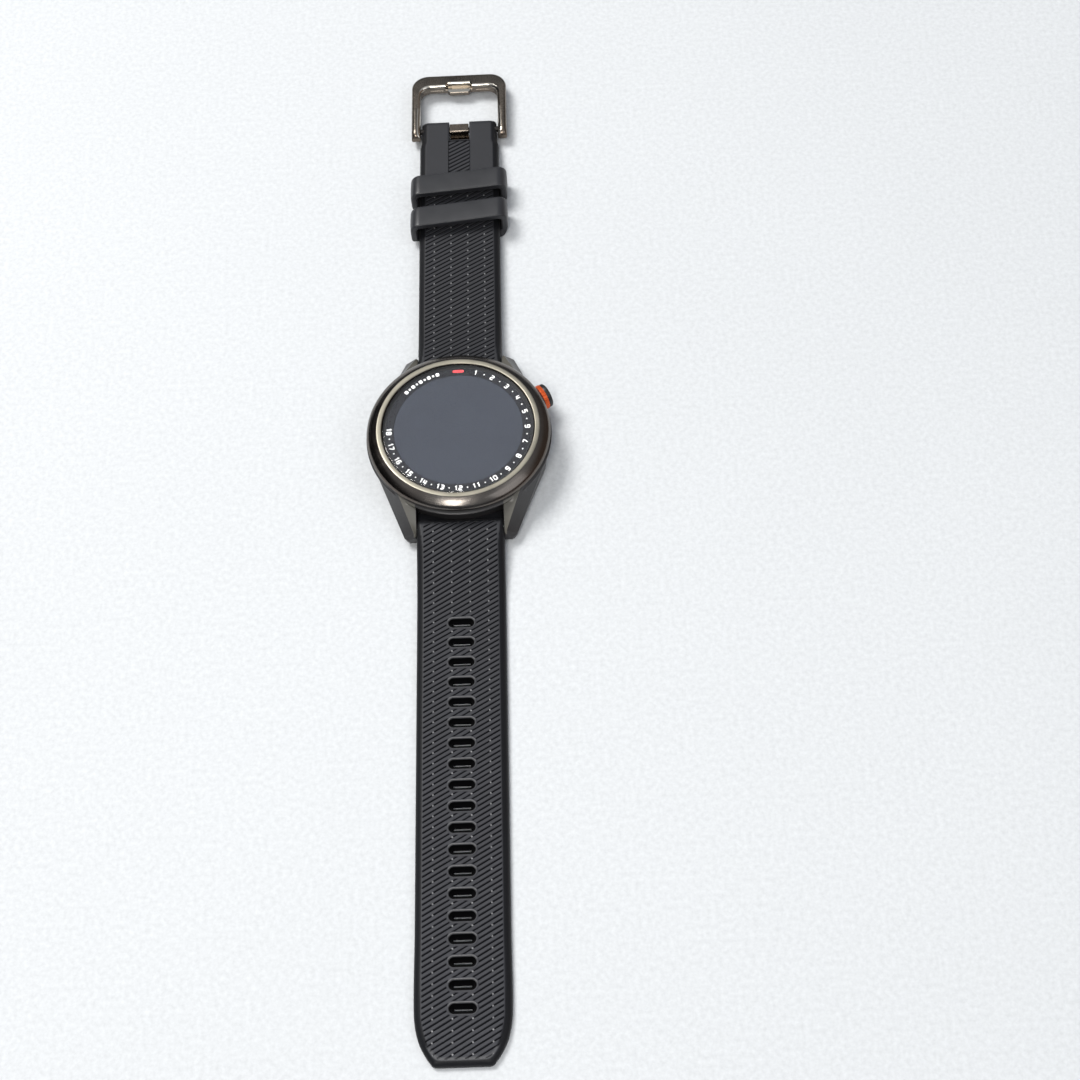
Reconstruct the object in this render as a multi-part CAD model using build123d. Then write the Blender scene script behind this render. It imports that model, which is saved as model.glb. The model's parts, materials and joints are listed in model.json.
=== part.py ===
from build123d import *
import os
import math

# Golf GPS wrist watch lying open on its case back.
# Millimetres. Origin: centre of the flat case back. +Z up out of the dial,
# +Y along the strap towards the buckle, +X towards the push button.

os.makedirs("parts", exist_ok=True)

# ---------------------------------------------------------------- driving sizes
CASE_R = 21.7            # bezel outside radius (43.4 mm case)
CASE_H = 11.6            # case back to top of bezel
LUG_GAP = 20.4           # between the inner faces of a pair of lugs
STRAP_W = 20.4           # strap body width
STRAP_T = 2.4            # strap body thickness
BAR_Y = 22.7             # spring bar centre, from case centre
BAR_Z = 3.2              # spring bar centre height
LUG_TIP_Y = 25.3         # lug tip, from case centre
LENS_R = 17.85
LENS_TOP = 11.3
LENS_BOTTOM = 10.2
DISPLAY_R = 15.2         # visible display radius (30.4 mm)
BEZEL_Z = 8.8            # joint between mid case and bezel
CAVITY_R = 18.6
LONG_TIP_Y = 149.0       # strap tip, from case centre
SLOT_N = 19
SLOT_PITCH = 5.0
SLOT_FIRST_Y = 47.2
SLOT_L = 5.8             # across the strap
SLOT_W = 2.2             # along the strap
SHORT_END_Y = 100.3
SHORT_Z = 1.75           # underside of the short strap, lifted by the keepers
PIN_Y = 97.8
PIN_Z = SHORT_Z + STRAP_T / 2
PIN_R = 0.75
KEEPER_W = 24.6
KEEPER_H = 8.0
KEEPER_L = 6.2
KEEPER_WALL = 1.55
KEEPER_NEAR_Y = 67.3
KEEPER_FAR_Y = 77.3
FRAME_W = 24.8
FRAME_FAR_Y = 116.0
FRAME_BAR_Y = 111.5      # inner edge of the far bar
FRAME_NEAR_Y = 95.2
ARM_IN = 10.1            # inner face of each buckle arm
TONGUE_W = 4.9
TONGUE_L = 13.9
TONGUE_T = 1.3
BUTTON_ANGLE = 30.0      # degrees from +X towards +Y
BUTTON_Z = 5.4
BUTTON_R = 2.95
BUTTON_TRAVEL = 0.45
HUB_SLOT_Y = 93.76       # start of the slot round the tongue hub
SHELF_Z = 3.5            # ledge the tongue tip rests on

MINZ = (Align.CENTER, Align.CENTER, Align.MIN)


def save(name, shape):
    shape.label = name
    export_step(shape, "parts/" + name + ".step")


def lathe(points):
    """Solid of revolution about Z from (r, z) points."""
    wire = Polyline(*[(r, 0, z) for r, z in points], close=True)
    return revolve(make_face(wire), axis=Axis.Z)


def tube(r_out, r_in, z0, z1):
    body = Pos(0, 0, z0) * Cylinder(r_out, z1 - z0, align=MINZ)
    if r_in > 0:
        body -= Pos(0, 0, z0 - 0.5) * Cylinder(r_in, z1 - z0 + 1, align=MINZ)
    return body


def slab(x0, x1, y0, y1, z0, z1):
    return Pos((x0 + x1) / 2, (y0 + y1) / 2, z0) * Box(x1 - x0, y1 - y0, z1 - z0, align=MINZ)


def rod_x(r, x0, x1, y, z):
    """Round bar along X."""
    return Plane(origin=(x0, y, z), z_dir=(1, 0, 0)) * Cylinder(r, x1 - x0, align=MINZ)


def loft_y(sections):
    """Ruled loft through closed XZ polygons, each given as (y, [(x, z), ...])."""
    faces = []
    for y, pts in sections:
        faces.append(make_face(Polyline(*[(x, y, z) for x, z in pts], close=True)))
    return loft(faces, ruled=True)


def prism_x(yz, x0, x1):
    """YZ polygon extruded along X from x0 to x1."""
    face = make_face(Polyline(*[(x0, y, z) for y, z in yz], close=True))
    return extrude(face, amount=x1 - x0, dir=(1, 0, 0))


def prism_z(xy, z0, z1):
    face = make_face(Polyline(*[(x, y, z0) for x, y in xy], close=True))
    return extrude(face, amount=z1 - z0, dir=(0, 0, 1))


def one(shape):
    """The single solid of a boolean result."""
    solids = shape.solids()
    solids.sort(key=lambda s: -s.volume)
    return solids[0]


def group(shapes):
    return Compound(children=list(shapes))


def polar(r, deg):
    return r * math.cos(math.radians(deg)), r * math.sin(math.radians(deg))


# ------------------------------------------------------------------- mid case
wall = lathe([
    (0, 0.5), (19.4, 0.5), (20.1, 1.2), (20.4, 3.0), (20.55, 6.4),
    (20.9, 7.0), (21.75, 7.4), (21.9, 7.6), (21.9, 7.85), (21.6, 8.1),
    (20.9, 8.25), (20.7, BEZEL_Z), (0, BEZEL_Z),
])


def lug(sx, sy):
    gx = LUG_GAP / 2

    def sec(y, zi, xr, zr, xo, zo, xb, zb):
        pts = [(gx, zb), (gx, zi), (xr, zr), (xo, zo), (xb, zb)]
        pts = [(sx * x, z) for x, z in pts]
        return (sy * y, pts)

    body = loft_y([
        sec(6.0, 13.2, 18.3, 14.1, 20.6, 6.4, 20.0, 0.9),
        sec(24.6, 3.95, 10.75, 4.65, 13.15, 2.6, 12.55, 0.9),
        sec(LUG_TIP_Y, 3.2, 10.6, 3.7, 12.2, 2.5, 11.9, 1.5),
    ])
    keep = slab(-30, 30, -30, 30, 0.5, BEZEL_Z - 0.15)
    return body & keep


mid = wall
for sx in (-1, 1):
    for sy in (-1, 1):
        mid = mid + lug(sx, sy)

bdir = (math.cos(math.radians(BUTTON_ANGLE)), math.sin(math.radians(BUTTON_ANGLE)), 0)
bplane = Plane(origin=(0, 0, BUTTON_Z), x_dir=(0, 0, 1), z_dir=bdir)


def on_button(shape, s):
    """Put a shape built along +Z on the button axis, s mm from the case axis."""
    return bplane * (Pos(0, 0, s) * shape)


def button_tube(r_out, r_in, s0, s1):
    body = Cylinder(r_out, s1 - s0, align=MINZ)
    if r_in > 0:
        body -= Pos(0, 0, -0.5) * Cylinder(r_in, s1 - s0 + 1, align=MINZ)
    return on_button(body, s0)


mid = mid + button_tube(3.3, 0, 18.0, 21.3)
cavity = lathe([(0, 3.0), (CAVITY_R, 3.0), (CAVITY_R, BEZEL_Z + 1), (0, BEZEL_Z + 1)])
mid = mid - cavity
mid = mid - lathe([(0, 0.0), (17.0, 0.0), (17.0, 3.5), (0, 3.5)])
mid = mid - tube(19.05, 0, 0.0, 1.2)
for a in (60, 120, 240, 300):
    bx, by = polar(15.8, a)
    boss = Pos(bx, by, 1.2) * Cylinder(1.9, 3.5, align=MINZ)
    mid = mid + boss
mid = mid - tube(18.35, 17.55, 1.1, 1.9)
for a in (60, 120, 240, 300):
    bx, by = polar(15.8, a)
    mid = mid - Pos(bx, by, 1.0) * Cylinder(0.46, 3.0, align=MINZ)
# gasket groove ring passes outside the screw bosses; pockets for the strap ends
for sy in (-1, 1):
    mid = mid - rod_x(2.25, -LUG_GAP / 2, LUG_GAP / 2, sy * BAR_Y, BAR_Z)
    for sx in (-1, 1):
        x0, x1 = (LUG_GAP / 2 - 0.2, LUG_GAP / 2 + 1.1) if sx > 0 else (-LUG_GAP / 2 - 1.1, -LUG_GAP / 2 + 0.2)
        mid = mid - rod_x(0.45, x0, x1, sy * BAR_Y, BAR_Z)
mid = mid - button_tube(1.55, 0, 17.0, 20.5)
mid = mid - button_tube(2.35, 0, 19.9, 22.0)
mid = mid - button_tube(3.4, 0, 21.3, 27.0)
mid_case = one(mid)
save("mid_case", mid_case)

# ---------------------------------------------------------------------- bezel
bezel = lathe([
    (17.0, BEZEL_Z), (21.25, BEZEL_Z), (21.62, 9.1), (CASE_R, 9.3), (CASE_R, 9.55), (21.3, 10.25),
    (20.3, 11.0), (19.35, 11.52), (19.15, CASE_H), (18.1, CASE_H), (17.95, CASE_H - 0.12),
    (17.95, 9.9), (17.0, 9.9),
])
save("bezel", one(bezel))

# --------------------------------------------------------------- lens and dial
lens = lathe([
    (0, LENS_BOTTOM), (LENS_R, LENS_BOTTOM), (LENS_R, LENS_TOP - 0.18),
    (LENS_R - 0.18, LENS_TOP), (0, LENS_TOP),
])
save("lens", one(lens))
save("lens_gasket", one(tube(17.85, 17.15, 9.9, LENS_BOTTOM)))
save("dial_ring", one(tube(17.1, DISPLAY_R, 10.05, LENS_BOTTOM)))
save("display_module", one(tube(15.9, 0, 8.95, 10.0)))
save("display_backlight", one(tube(15.9, 0, 8.5, 8.92)))
carrier = tube(16.8, 13.5, 7.4, 8.5) + tube(16.85, 15.95, 8.5, 9.95)
for a in (45, 135, 225, 315):
    lx, ly = polar(15.1, a)
    carrier += Pos(lx, ly, 5.5) * Cylinder(0.9, 2.0, align=MINZ)
carrier -= slab(-5, 5, -17, -13.4, 7.3, 8.2)
save("display_carrier", one(carrier))
ant = tube(18.4, 17.05, 7.5, 8.45)
ant -= slab(-3, 3, 15, 20, 7, 9)
for a in (45, 165, 285):
    tx, ty = polar(17.7, a)
    ant += Pos(tx, ty, 5.5) * Cylinder(0.35, 2.1, align=MINZ)
save("gnss_antenna", one(ant))

# -------------------------------------------------------------- circuit board
board = tube(18.2, 0, 4.7, 5.5)
notch = Plane(origin=(0, 0, 4), x_dir=(bdir[1], -bdir[0], 0), z_dir=(0, 0, 1)) * (Pos(0, 17.0, 0) * Box(8.4, 6.0, 3, align=MINZ))
board -= notch
board -= slab(-2.6, 2.6, 16.4, 19, 4, 6)
for a in (20, 200):
    hx, hy = polar(16.4, a - 65)
    board -= Pos(hx, hy, 4) * Cylinder(0.7, 3, align=MINZ)
save("main_board", one(board))


def can(x0, x1, y0, y1, z0, h):
    outer = slab(x0, x1, y0, y1, z0, z0 + h)
    outer = fillet(outer.edges().filter_by(Axis.Z), 0.5)
    outer -= slab(x0 + 0.2, x1 - 0.2, y0 + 0.2, y1 - 0.2, z0 - 0.1, z0 + h - 0.2)
    return one(outer)


save("gnss_shield_can", can(-11.0, -2.0, 1.0, 9.5, 5.5, 1.4))
save("radio_shield_can", can(-10.5, -3.0, -8.5, -1.5, 5.5, 1.3))
chip = slab(0.5, 7.0, -3.0, 3.5, 5.55, 6.5)
save("processor_chip", one(chip))
save("display_connector", one(slab(-4.0, 4.0, -12.2, -10.2, 5.5, 6.5)))

# -------------------------------------------------------------------- battery
pouch = slab(-14.0, 6.0, -10.0, 10.0, 1.45, 4.4)
pouch = fillet(pouch.edges().filter_by(Axis.Z), 2.5)
pouch = fillet(pouch.edges().group_by(Axis.Z)[0] + pouch.edges().group_by(Axis.Z)[-1], 0.5)
save("battery", one(pouch))
save("battery_pad", one(slab(-12.0, 4.0, -8.0, 8.0, 4.4, 4.7)))

# ------------------------------------------------------------ vibration motor
MOTOR_X, MOTOR_Y = 10.9, -5.6
mcan = Pos(MOTOR_X, MOTOR_Y, 0) * (tube(4.0, 0, 1.9, 4.7) - tube(3.6, 0.4, 2.2, 4.4))
save("vibration_motor_can", one(mcan))
weight = tube(3.2, 0, 2.6, 4.0) - slab(-4, 4, -4, -0.9, 2, 5)
weight = (weight & tube(3.2, 0, 2.6, 4.0)) - tube(0.45, 0, 2, 5)
weight = Pos(MOTOR_X, MOTOR_Y, 0) * one(weight)
save("vibration_motor_weight", one(weight))

# ----------------------------------------------------------------- rear cover
cover = lathe([(0, 0), (18.3, 0), (19.0, 0.5), (19.0, 1.2), (0, 1.2)])
for a in (60, 120, 240, 300):
    bx, by = polar(15.8, a)
    cover -= Pos(bx, by, -0.1) * Cylinder(1.15, 0.75, align=MINZ)
    cover -= Pos(bx, by, -0.1) * Cylinder(0.55, 2.0, align=MINZ)
cover -= slab(-4.0, 4.0, -15.1, -11.7, -0.5, 2)
save("rear_cover", one(cover))
save("rear_cover_gasket", one(tube(18.3, 17.6, 1.2, 1.86)))
screws = []
for a in (60, 120, 240, 300):
    bx, by = polar(15.8, a)
    s = tube(1.05, 0, 0.12, 0.65) + tube(0.45, 0, 0.65, 3.7)
    s -= extrude(Pos(0, 0, 0.12) * RegularPolygon(0.48, 6), amount=0.33)
    screws.append(Pos(bx, by, 0) * one(s))
save("rear_cover_screws", group(screws))
block = slab(-4.0, 4.0, -15.1, -11.7, 0.15, 2.1)
contacts = []
for i in range(4):
    cx = (i - 1.5) * 1.8
    block -= Pos(cx, -13.4, -1) * Cylinder(0.5, 5, align=MINZ)
    contacts.append(Pos(cx, -13.4, 0.2) * Cylinder(0.5, 2.5, align=MINZ))
save("contact_block", one(block))
save("charging_contacts", group([one(c) for c in contacts]))

# --------------------------------------------------------------------- button
cap = Cylinder(BUTTON_R, 1.1, align=MINZ)
cap = fillet(cap.edges().group_by(Axis.Z)[-1], 0.45)
cap -= Pos(0, 0, -0.5) * Cylinder(1.0, 1.1, align=MINZ)
save("button_cap", one(on_button(cap, 23.3)))
accent = Cylinder(3.05, 1.5, align=MINZ) - Pos(0, 0, -0.5) * Cylinder(1.0, 2, align=MINZ)
for i in range(24):
    gx, gy = polar(3.12, i * 15)
    accent -= Pos(gx, gy, -0.1) * Cylinder(0.2, 1.8, align=MINZ)
save("button_accent_ring", one(on_button(accent, 21.8)))
stem = Cylinder(1.0, 6.9, align=MINZ)
stem -= Pos(0, 0, 0.9) * (Cylinder(1.5, 0.3, align=MINZ) - Cylinder(0.7, 0.3, align=MINZ))
stem -= Pos(0, 0, 2.1) * (Cylinder(1.5, 0.5, align=MINZ) - Cylinder(0.7, 0.5, align=MINZ))
save("button_stem", one(on_button(stem, 17.0)))
save("button_o_ring", one(button_tube(1.03, 0.7, 19.12, 19.58)))
clip = Cylinder(1.5, 0.28, align=MINZ) - Pos(0, 0, -0.5) * Cylinder(0.7, 2, align=MINZ) - Pos(1.0, 0, -0.5) * Box(2.0, 0.9, 2, align=MINZ)
save("button_retaining_clip", one(on_button(clip, 17.91)))
save("button_bushing", one(button_tube(1.55, 1.07, 18.3, 20.6)))


def coil(radius, wire, pitch, height):
    path = Helix(pitch, height, radius)
    prof = Plane(origin=path @ 0, z_dir=path % 0) * Circle(wire)
    return sweep(prof, path=path)


spring = coil(1.9, 0.17, 0.5, 1.4)
save("button_spring", one(on_button(spring, 20.12)))
sw = Box(2.8, 3.4, 1.1, align=MINZ) + Pos(0, 0, 1.1) * Cylinder(0.6, 0.4, align=MINZ)
save("button_switch", one(on_button(sw, 15.0)))
fx = Box(3.4, 5.0, 0.25, align=MINZ)
flex = on_button(fx, 14.75)
tail = Plane(origin=(0, 0, 5.5), x_dir=(-bdir[1], bdir[0], 0), z_dir=(0, 0, 1))
tail = tail * (Pos(0, -13.4, 0) * Box(3.0, 2.9, 0.18, align=MINZ))
flex = flex + tail
save("button_flex", one(flex))

# ---------------------------------------------------------------- spring bars


def bar_parts(prefix, sy):
    y = sy * BAR_Y
    tb = rod_x(0.75, -9.7, 9.7, y, BAR_Z) - rod_x(0.5, -10, 10, y, BAR_Z)
    tb -= slab(-7.0, -4.5, y - 0.42, y + 0.42, BAR_Z - 1.0, BAR_Z - 0.1)
    save(prefix + "_spring_bar_tube", one(tb))
    tip = rod_x(0.5, 7.0, 9.7, y, BAR_Z) + rod_x(0.4, 9.6, 11.0, y, BAR_Z)
    save(prefix + "_spring_bar_tip", one(tip))
    pl = rod_x(0.46, -9.7, -5.6, y, BAR_Z) + rod_x(0.4, -11.0, -9.6, y, BAR_Z)
    pl += Pos(-6.4, y, 1.0) * Cylinder(0.36, BAR_Z - 1.0, align=MINZ)
    save(prefix + "_release_plunger", one(pl))
    cl = Plane(origin=(-5.3, y, BAR_Z), z_dir=(1, 0, 0)) * coil(0.33, 0.08, 0.6, 12.0)
    save(prefix + "_spring_bar_coil", one(cl))


bar_parts("lower", -1)
bar_parts("upper", 1)

# --------------------------------------------------------------------- straps


def strap_section(y, hw, zb, zt, bevel=2.2, drop=1.1, foot=0.45):
    h = zt - zb
    d = min(drop, 0.45 * h)
    f = min(foot, 0.3 * h)
    return (y, [(-hw + f, zb), (hw - f, zb), (hw, zb + f), (hw, zt - d),
                (hw - bevel, zt), (-hw + bevel, zt), (-hw, zt - d), (-hw, zb + f)])


HWI = LUG_GAP / 2 - 0.17     # half width between the lugs
HW = STRAP_W / 2


def head(sy):
    """Barrel round the spring bar and the run out between the lugs."""
    return [
        (sy * 20.85, HWI, 2.75, 3.65, 0.4, 0.3), (sy * 21.25, HWI, 2.0, 4.4, 0.6, 0.5),
        (sy * 21.9, HWI, 1.5, 4.9, 0.9, 0.6), (sy * BAR_Y, HWI, 1.3, 5.1, 1.2, 0.8),
        (sy * 25.3, HWI, 1.15, 4.95, 1.6, 0.9), (sy * 25.9, HW, 1.1, 4.85, 2.2, 1.1),
    ]


def bar_tunnel(body, sy):
    y = sy * BAR_Y
    body -= rod_x(0.78, -12, 12, y, BAR_Z)
    body -= slab(-7.1, -4.4, y - 0.6, y + 0.6, 0.0, BAR_Z)
    return body


rows = [strap_section(*r) for r in head(-1)]
for y, hw, zb, zt in [
    (29.0, HW, 0.72, 4.35), (33.0, HW, 0.32, 3.55), (37.5, HW, 0.08, 2.85), (42.0, HW, 0.0, 2.45),
    (45.0, HW, 0.0, STRAP_T), (120.0, HW, 0.0, STRAP_T), (133.0, HW + 0.12, 0.0, STRAP_T),
    (138.0, HW + 0.05, 0.0, STRAP_T), (140.5, HW - 0.2, 0.0, STRAP_T), (142.5, 9.6, 0.0, STRAP_T),
    (144.4, 8.98, 0.0, STRAP_T), (146.1, 8.2, 0.0, 2.35), (147.4, 7.4, 0.0, 2.0),
    (148.4, 6.6, 0.1, 1.65), (LONG_TIP_Y, 5.6, 0.3, 1.2),
]:
    rows.append(strap_section(-y, hw, zb, zt))
long_strap = loft_y(rows)
long_strap = bar_tunnel(long_strap, -1)
for i in range(SLOT_N):
    y = -(SLOT_FIRST_Y + i * SLOT_PITCH)
    hole = extrude(Plane(origin=(0, y, -1)) * SlotOverall(SLOT_L, SLOT_W), amount=5)
    long_strap -= hole
save("strap_long", one(long_strap))

rows = [strap_section(*r) for r in head(1)]
top = SHORT_Z + STRAP_T
for y, hw, zb, zt in [
    (29.0, HW, 1.3, 4.55), (33.0, HW, 1.6, 4.25), (37.0, HW, SHORT_Z, top), (92.0, HW, SHORT_Z, top),
    (94.0, 9.75, SHORT_Z, top), (99.2, 9.75, SHORT_Z, top), (99.9, 9.65, 2.05, top - 0.25),
    (SHORT_END_Y, 9.4, 2.5, top - 0.7),
]:
    rows.append(strap_section(y, hw, zb, zt))
short_strap = loft_y(rows)
short_strap = bar_tunnel(short_strap, 1)
short_strap -= rod_x(PIN_R + 0.05, -12, 12, PIN_Y, PIN_Z)
short_strap -= slab(-TONGUE_W / 2 - 0.2, TONGUE_W / 2 + 0.2, HUB_SLOT_Y, 102, 0, 6)
short_strap -= slab(-TONGUE_W / 2 - 0.2, TONGUE_W / 2 + 0.2, 82.1, HUB_SLOT_Y + 0.1, top - 0.3, 6)
save("strap_short", one(short_strap))

# -------------------------------------------------------------------- keepers


def keeper(yc):
    w, h, l, t = KEEPER_W, KEEPER_H, KEEPER_L, KEEPER_WALL
    outer = Plane(origin=(0, yc - l / 2, h / 2), x_dir=(1, 0, 0), z_dir=(0, 1, 0)) * RectangleRounded(w, h, 2.6)
    body = extrude(outer, amount=l)
    inner = Plane(origin=(0, yc - l / 2 - 1, h / 2), x_dir=(1, 0, 0), z_dir=(0, 1, 0)) * RectangleRounded(w - 2 * t, h - 2 * t, 1.1)
    body -= extrude(inner, amount=l + 2)
    return one(body)


near = keeper(KEEPER_NEAR_Y)
far = keeper(KEEPER_FAR_Y)
save("keeper_near", near)
save("keeper_far", far)

# --------------------------------------------------------------------- buckle
side = [
    (FRAME_NEAR_Y, 2.5), (95.6, 1.8), (96.6, 1.35), (98.2, 1.25), (103.0, 1.45), (107.5, 1.75),
    (110.5, 1.95), (114.6, 2.15), (115.6, 2.5), (FRAME_FAR_Y, 3.3), (115.8, 4.05), (115.0, 4.6),
    (111.5, 4.9), (104.0, 4.95), (99.5, 4.85), (97.0, 4.7), (95.9, 4.3), (FRAME_NEAR_Y, 3.5),
]
frame = prism_x(side, -FRAME_W / 2, FRAME_W / 2)
plan = Plane(origin=(0, 0, -1)) * (Pos(0, (FRAME_FAR_Y + 80) / 2) * RectangleRounded(FRAME_W, FRAME_FAR_Y - 80, 4.3))
frame &= extrude(plan, amount=8)
hole = Plane(origin=(0, 0, -1)) * (Pos(0, (FRAME_BAR_Y + 80) / 2) * RectangleRounded(2 * ARM_IN, FRAME_BAR_Y - 80, 2.0))
frame -= extrude(hole, amount=8)
frame -= prism_z([(-3.5, 111.4), (3.5, 111.4), (2.8, 112.4), (-2.8, 112.4)], SHELF_Z, 6)
shelf = slab(-2.9, 2.9, 110.5, 113.0, 2.3, SHELF_Z)
shelf = chamfer(shelf.edges().group_by(Axis.Y)[0].filter_by(Axis.Z), 0.5)
frame += shelf
frame -= rod_x(PIN_R, -13, 13, PIN_Y, PIN_Z)
buckle = one(frame)
save("buckle_frame", buckle)
save("buckle_pin", one(rod_x(PIN_R, -FRAME_W / 2 + 0.1, FRAME_W / 2 - 0.1, PIN_Y, PIN_Z)))

# The tongue is swung back under the strap, pointing at the case.
hub = prism_x([
    (PIN_Y - 1.0, PIN_Z - 1.45), (PIN_Y + 1.0, PIN_Z - 1.45), (PIN_Y + 1.45, PIN_Z - 1.0), (PIN_Y + 1.45, PIN_Z + 1.0),
    (PIN_Y + 1.0, PIN_Z + 1.45), (PIN_Y - 1.15, PIN_Z + 1.45), (PIN_Y - 1.45, PIN_Z + 1.15), (PIN_Y - 1.45, PIN_Z - 1.0),
], -TONGUE_W / 2, TONGUE_W / 2)
blade = prism_x([
    (PIN_Y + 0.9, 1.55), (PIN_Y + 0.9, 1.5), (PIN_Y, PIN_Z - 1.65), (PIN_Y - 1.2, 0.3), (PIN_Y - 2.4, 0.25),
    (PIN_Y - TONGUE_L + 0.7, 0.25), (PIN_Y - TONGUE_L, 0.7), (PIN_Y - TONGUE_L, 1.15), (PIN_Y - TONGUE_L + 0.5, 0.25 + TONGUE_T),
], -TONGUE_W / 2, TONGUE_W / 2)
tongue = hub + blade
tongue -= rod_x(PIN_R + 0.05, -5, 5, PIN_Y, PIN_Z)
save("buckle_tongue", one(tongue))

print("parts written:", len(os.listdir("parts")))
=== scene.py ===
import bpy
import bmesh
import json
import math
import numpy as np
from mathutils import Matrix, Vector


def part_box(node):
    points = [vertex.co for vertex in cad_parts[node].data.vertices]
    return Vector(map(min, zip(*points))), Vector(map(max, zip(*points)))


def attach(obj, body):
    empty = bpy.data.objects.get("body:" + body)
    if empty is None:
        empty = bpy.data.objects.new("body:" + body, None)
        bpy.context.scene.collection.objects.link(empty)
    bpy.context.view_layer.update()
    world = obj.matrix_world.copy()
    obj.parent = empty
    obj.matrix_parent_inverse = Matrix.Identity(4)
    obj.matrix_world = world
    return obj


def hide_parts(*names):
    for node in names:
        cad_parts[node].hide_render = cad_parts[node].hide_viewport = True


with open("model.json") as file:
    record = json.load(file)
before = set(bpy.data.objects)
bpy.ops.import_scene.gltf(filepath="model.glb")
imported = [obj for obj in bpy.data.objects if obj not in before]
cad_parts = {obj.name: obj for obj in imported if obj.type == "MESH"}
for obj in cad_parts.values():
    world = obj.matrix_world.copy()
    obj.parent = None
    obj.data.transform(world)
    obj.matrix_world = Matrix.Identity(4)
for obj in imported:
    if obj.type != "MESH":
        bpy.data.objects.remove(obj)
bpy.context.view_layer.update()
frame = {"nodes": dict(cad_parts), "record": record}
NODES = frame["nodes"]
MM = 0.001

# ---------------------------------------------------------------- sizes, in mm
BAR_Y, BAR_Z = 22.7, 3.2
GROOVE_PITCH = 1.25
GROOVE_SLOPE = 2.5 / 4.2
DX = 0.2625                      # grid step across the strap
DY = 0.15625                     # grid step along the strap, 8 to a groove
SLOT_FIRST, SLOT_PITCH, SLOT_N = 47.2, 5.0, 19
SLOT_HALF, SLOT_R = 1.8, 1.1     # straight half length and end radius of a slot
PANEL = 8.4                      # half width of the grooved panel
SHORT_Z = 1.75
LONG_TIP = -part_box("strap_long")[0].y / MM
SHORT_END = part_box("strap_short")[1].y / MM


# ------------------------------------------------------------------ mesh tools
def make_object(name, verts, faces, smooth_angle=35.0, recalc=True, attrs=None, weighted=True):
    """A mesh object from millimetre vertices."""
    me = bpy.data.meshes.new(name)
    me.from_pydata([tuple(v) for v in (np.asarray(verts, float) * MM)], [], faces)
    if recalc:
        bm = bmesh.new()
        bm.from_mesh(me)
        bmesh.ops.recalc_face_normals(bm, faces=bm.faces)
        bm.to_mesh(me)
        bm.free()
    for key, values in (attrs or {}).items():
        a = me.attributes.new(key, "FLOAT", "POINT")
        a.data.foreach_set("value", np.asarray(values, np.float32))
    me.polygons.foreach_set("use_smooth", [True] * len(me.polygons))
    if smooth_angle is not None:
        me.set_sharp_from_angle(angle=math.radians(smooth_angle))
    me.update()
    o = bpy.data.objects.new(name, me)
    bpy.context.scene.collection.objects.link(o)
    if weighted:
        w = o.modifiers.new("weighted", "WEIGHTED_NORMAL")
        w.keep_sharp = True
        w.weight = 80
    return o


def apply_modifiers(o, smooth_angle=None):
    dg = bpy.context.evaluated_depsgraph_get()
    me = bpy.data.meshes.new_from_object(o.evaluated_get(dg), preserve_all_data_layers=True, depsgraph=dg)
    o.modifiers.clear()
    old = o.data
    o.data = me
    bpy.data.meshes.remove(old)
    if smooth_angle is not None:
        me.polygons.foreach_set("use_smooth", [True] * len(me.polygons))
        me.set_sharp_from_angle(angle=math.radians(smooth_angle))
    return o


def lathe(name, profile, n=320, smooth_angle=28.0, centre=(0, 0)):
    """Closed ring or disc turned about Z from (r, z) points; r 0 ends close on the axis."""
    verts, faces, rows = [], [], []
    for r, z in profile:
        if r < 1e-6:
            rows.append([len(verts)])
            verts.append((centre[0], centre[1], z))
        else:
            rows.append(list(range(len(verts), len(verts) + n)))
            for i in range(n):
                a = 2 * math.pi * i / n
                verts.append((centre[0] + r * math.cos(a), centre[1] + r * math.sin(a), z))
    m = len(rows)
    closed = len(rows[0]) > 1 or len(rows[-1]) > 1
    pairs = [(k, (k + 1) % m) for k in range(m if closed and len(rows[0]) > 1 else m - 1)]
    for a, b in pairs:
        ra, rb = rows[a], rows[b]
        for i in range(n):
            j = (i + 1) % n
            if len(ra) == 1 and len(rb) == 1:
                continue
            if len(ra) == 1:
                faces.append((ra[0], rb[i], rb[j]))
            elif len(rb) == 1:
                faces.append((ra[i], rb[0], ra[j]))
            else:
                faces.append((ra[i], rb[i], rb[j], ra[j]))
    return make_object(name, verts, faces, smooth_angle)


def round_profile(points, radii, steps=4):
    """Polygon corners replaced by short arcs (quadratic), radii in mm."""
    out = []
    n = len(points)
    for i in range(n):
        p0, p1, p2 = (np.array(points[(i + k) % n], float) for k in (-1, 0, 1))
        r = radii[i]
        if r <= 0:
            out.append(tuple(p1))
            continue
        a, b = p0 - p1, p2 - p1
        la, lb = np.linalg.norm(a), np.linalg.norm(b)
        r = min(r, 0.48 * la, 0.48 * lb)
        q0, q2 = p1 + a / la * r, p1 + b / lb * r
        for k in range(steps + 1):
            t = k / steps
            out.append(tuple((1 - t) ** 2 * q0 + 2 * t * (1 - t) * p1 + t * t * q2))
    return out


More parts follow.
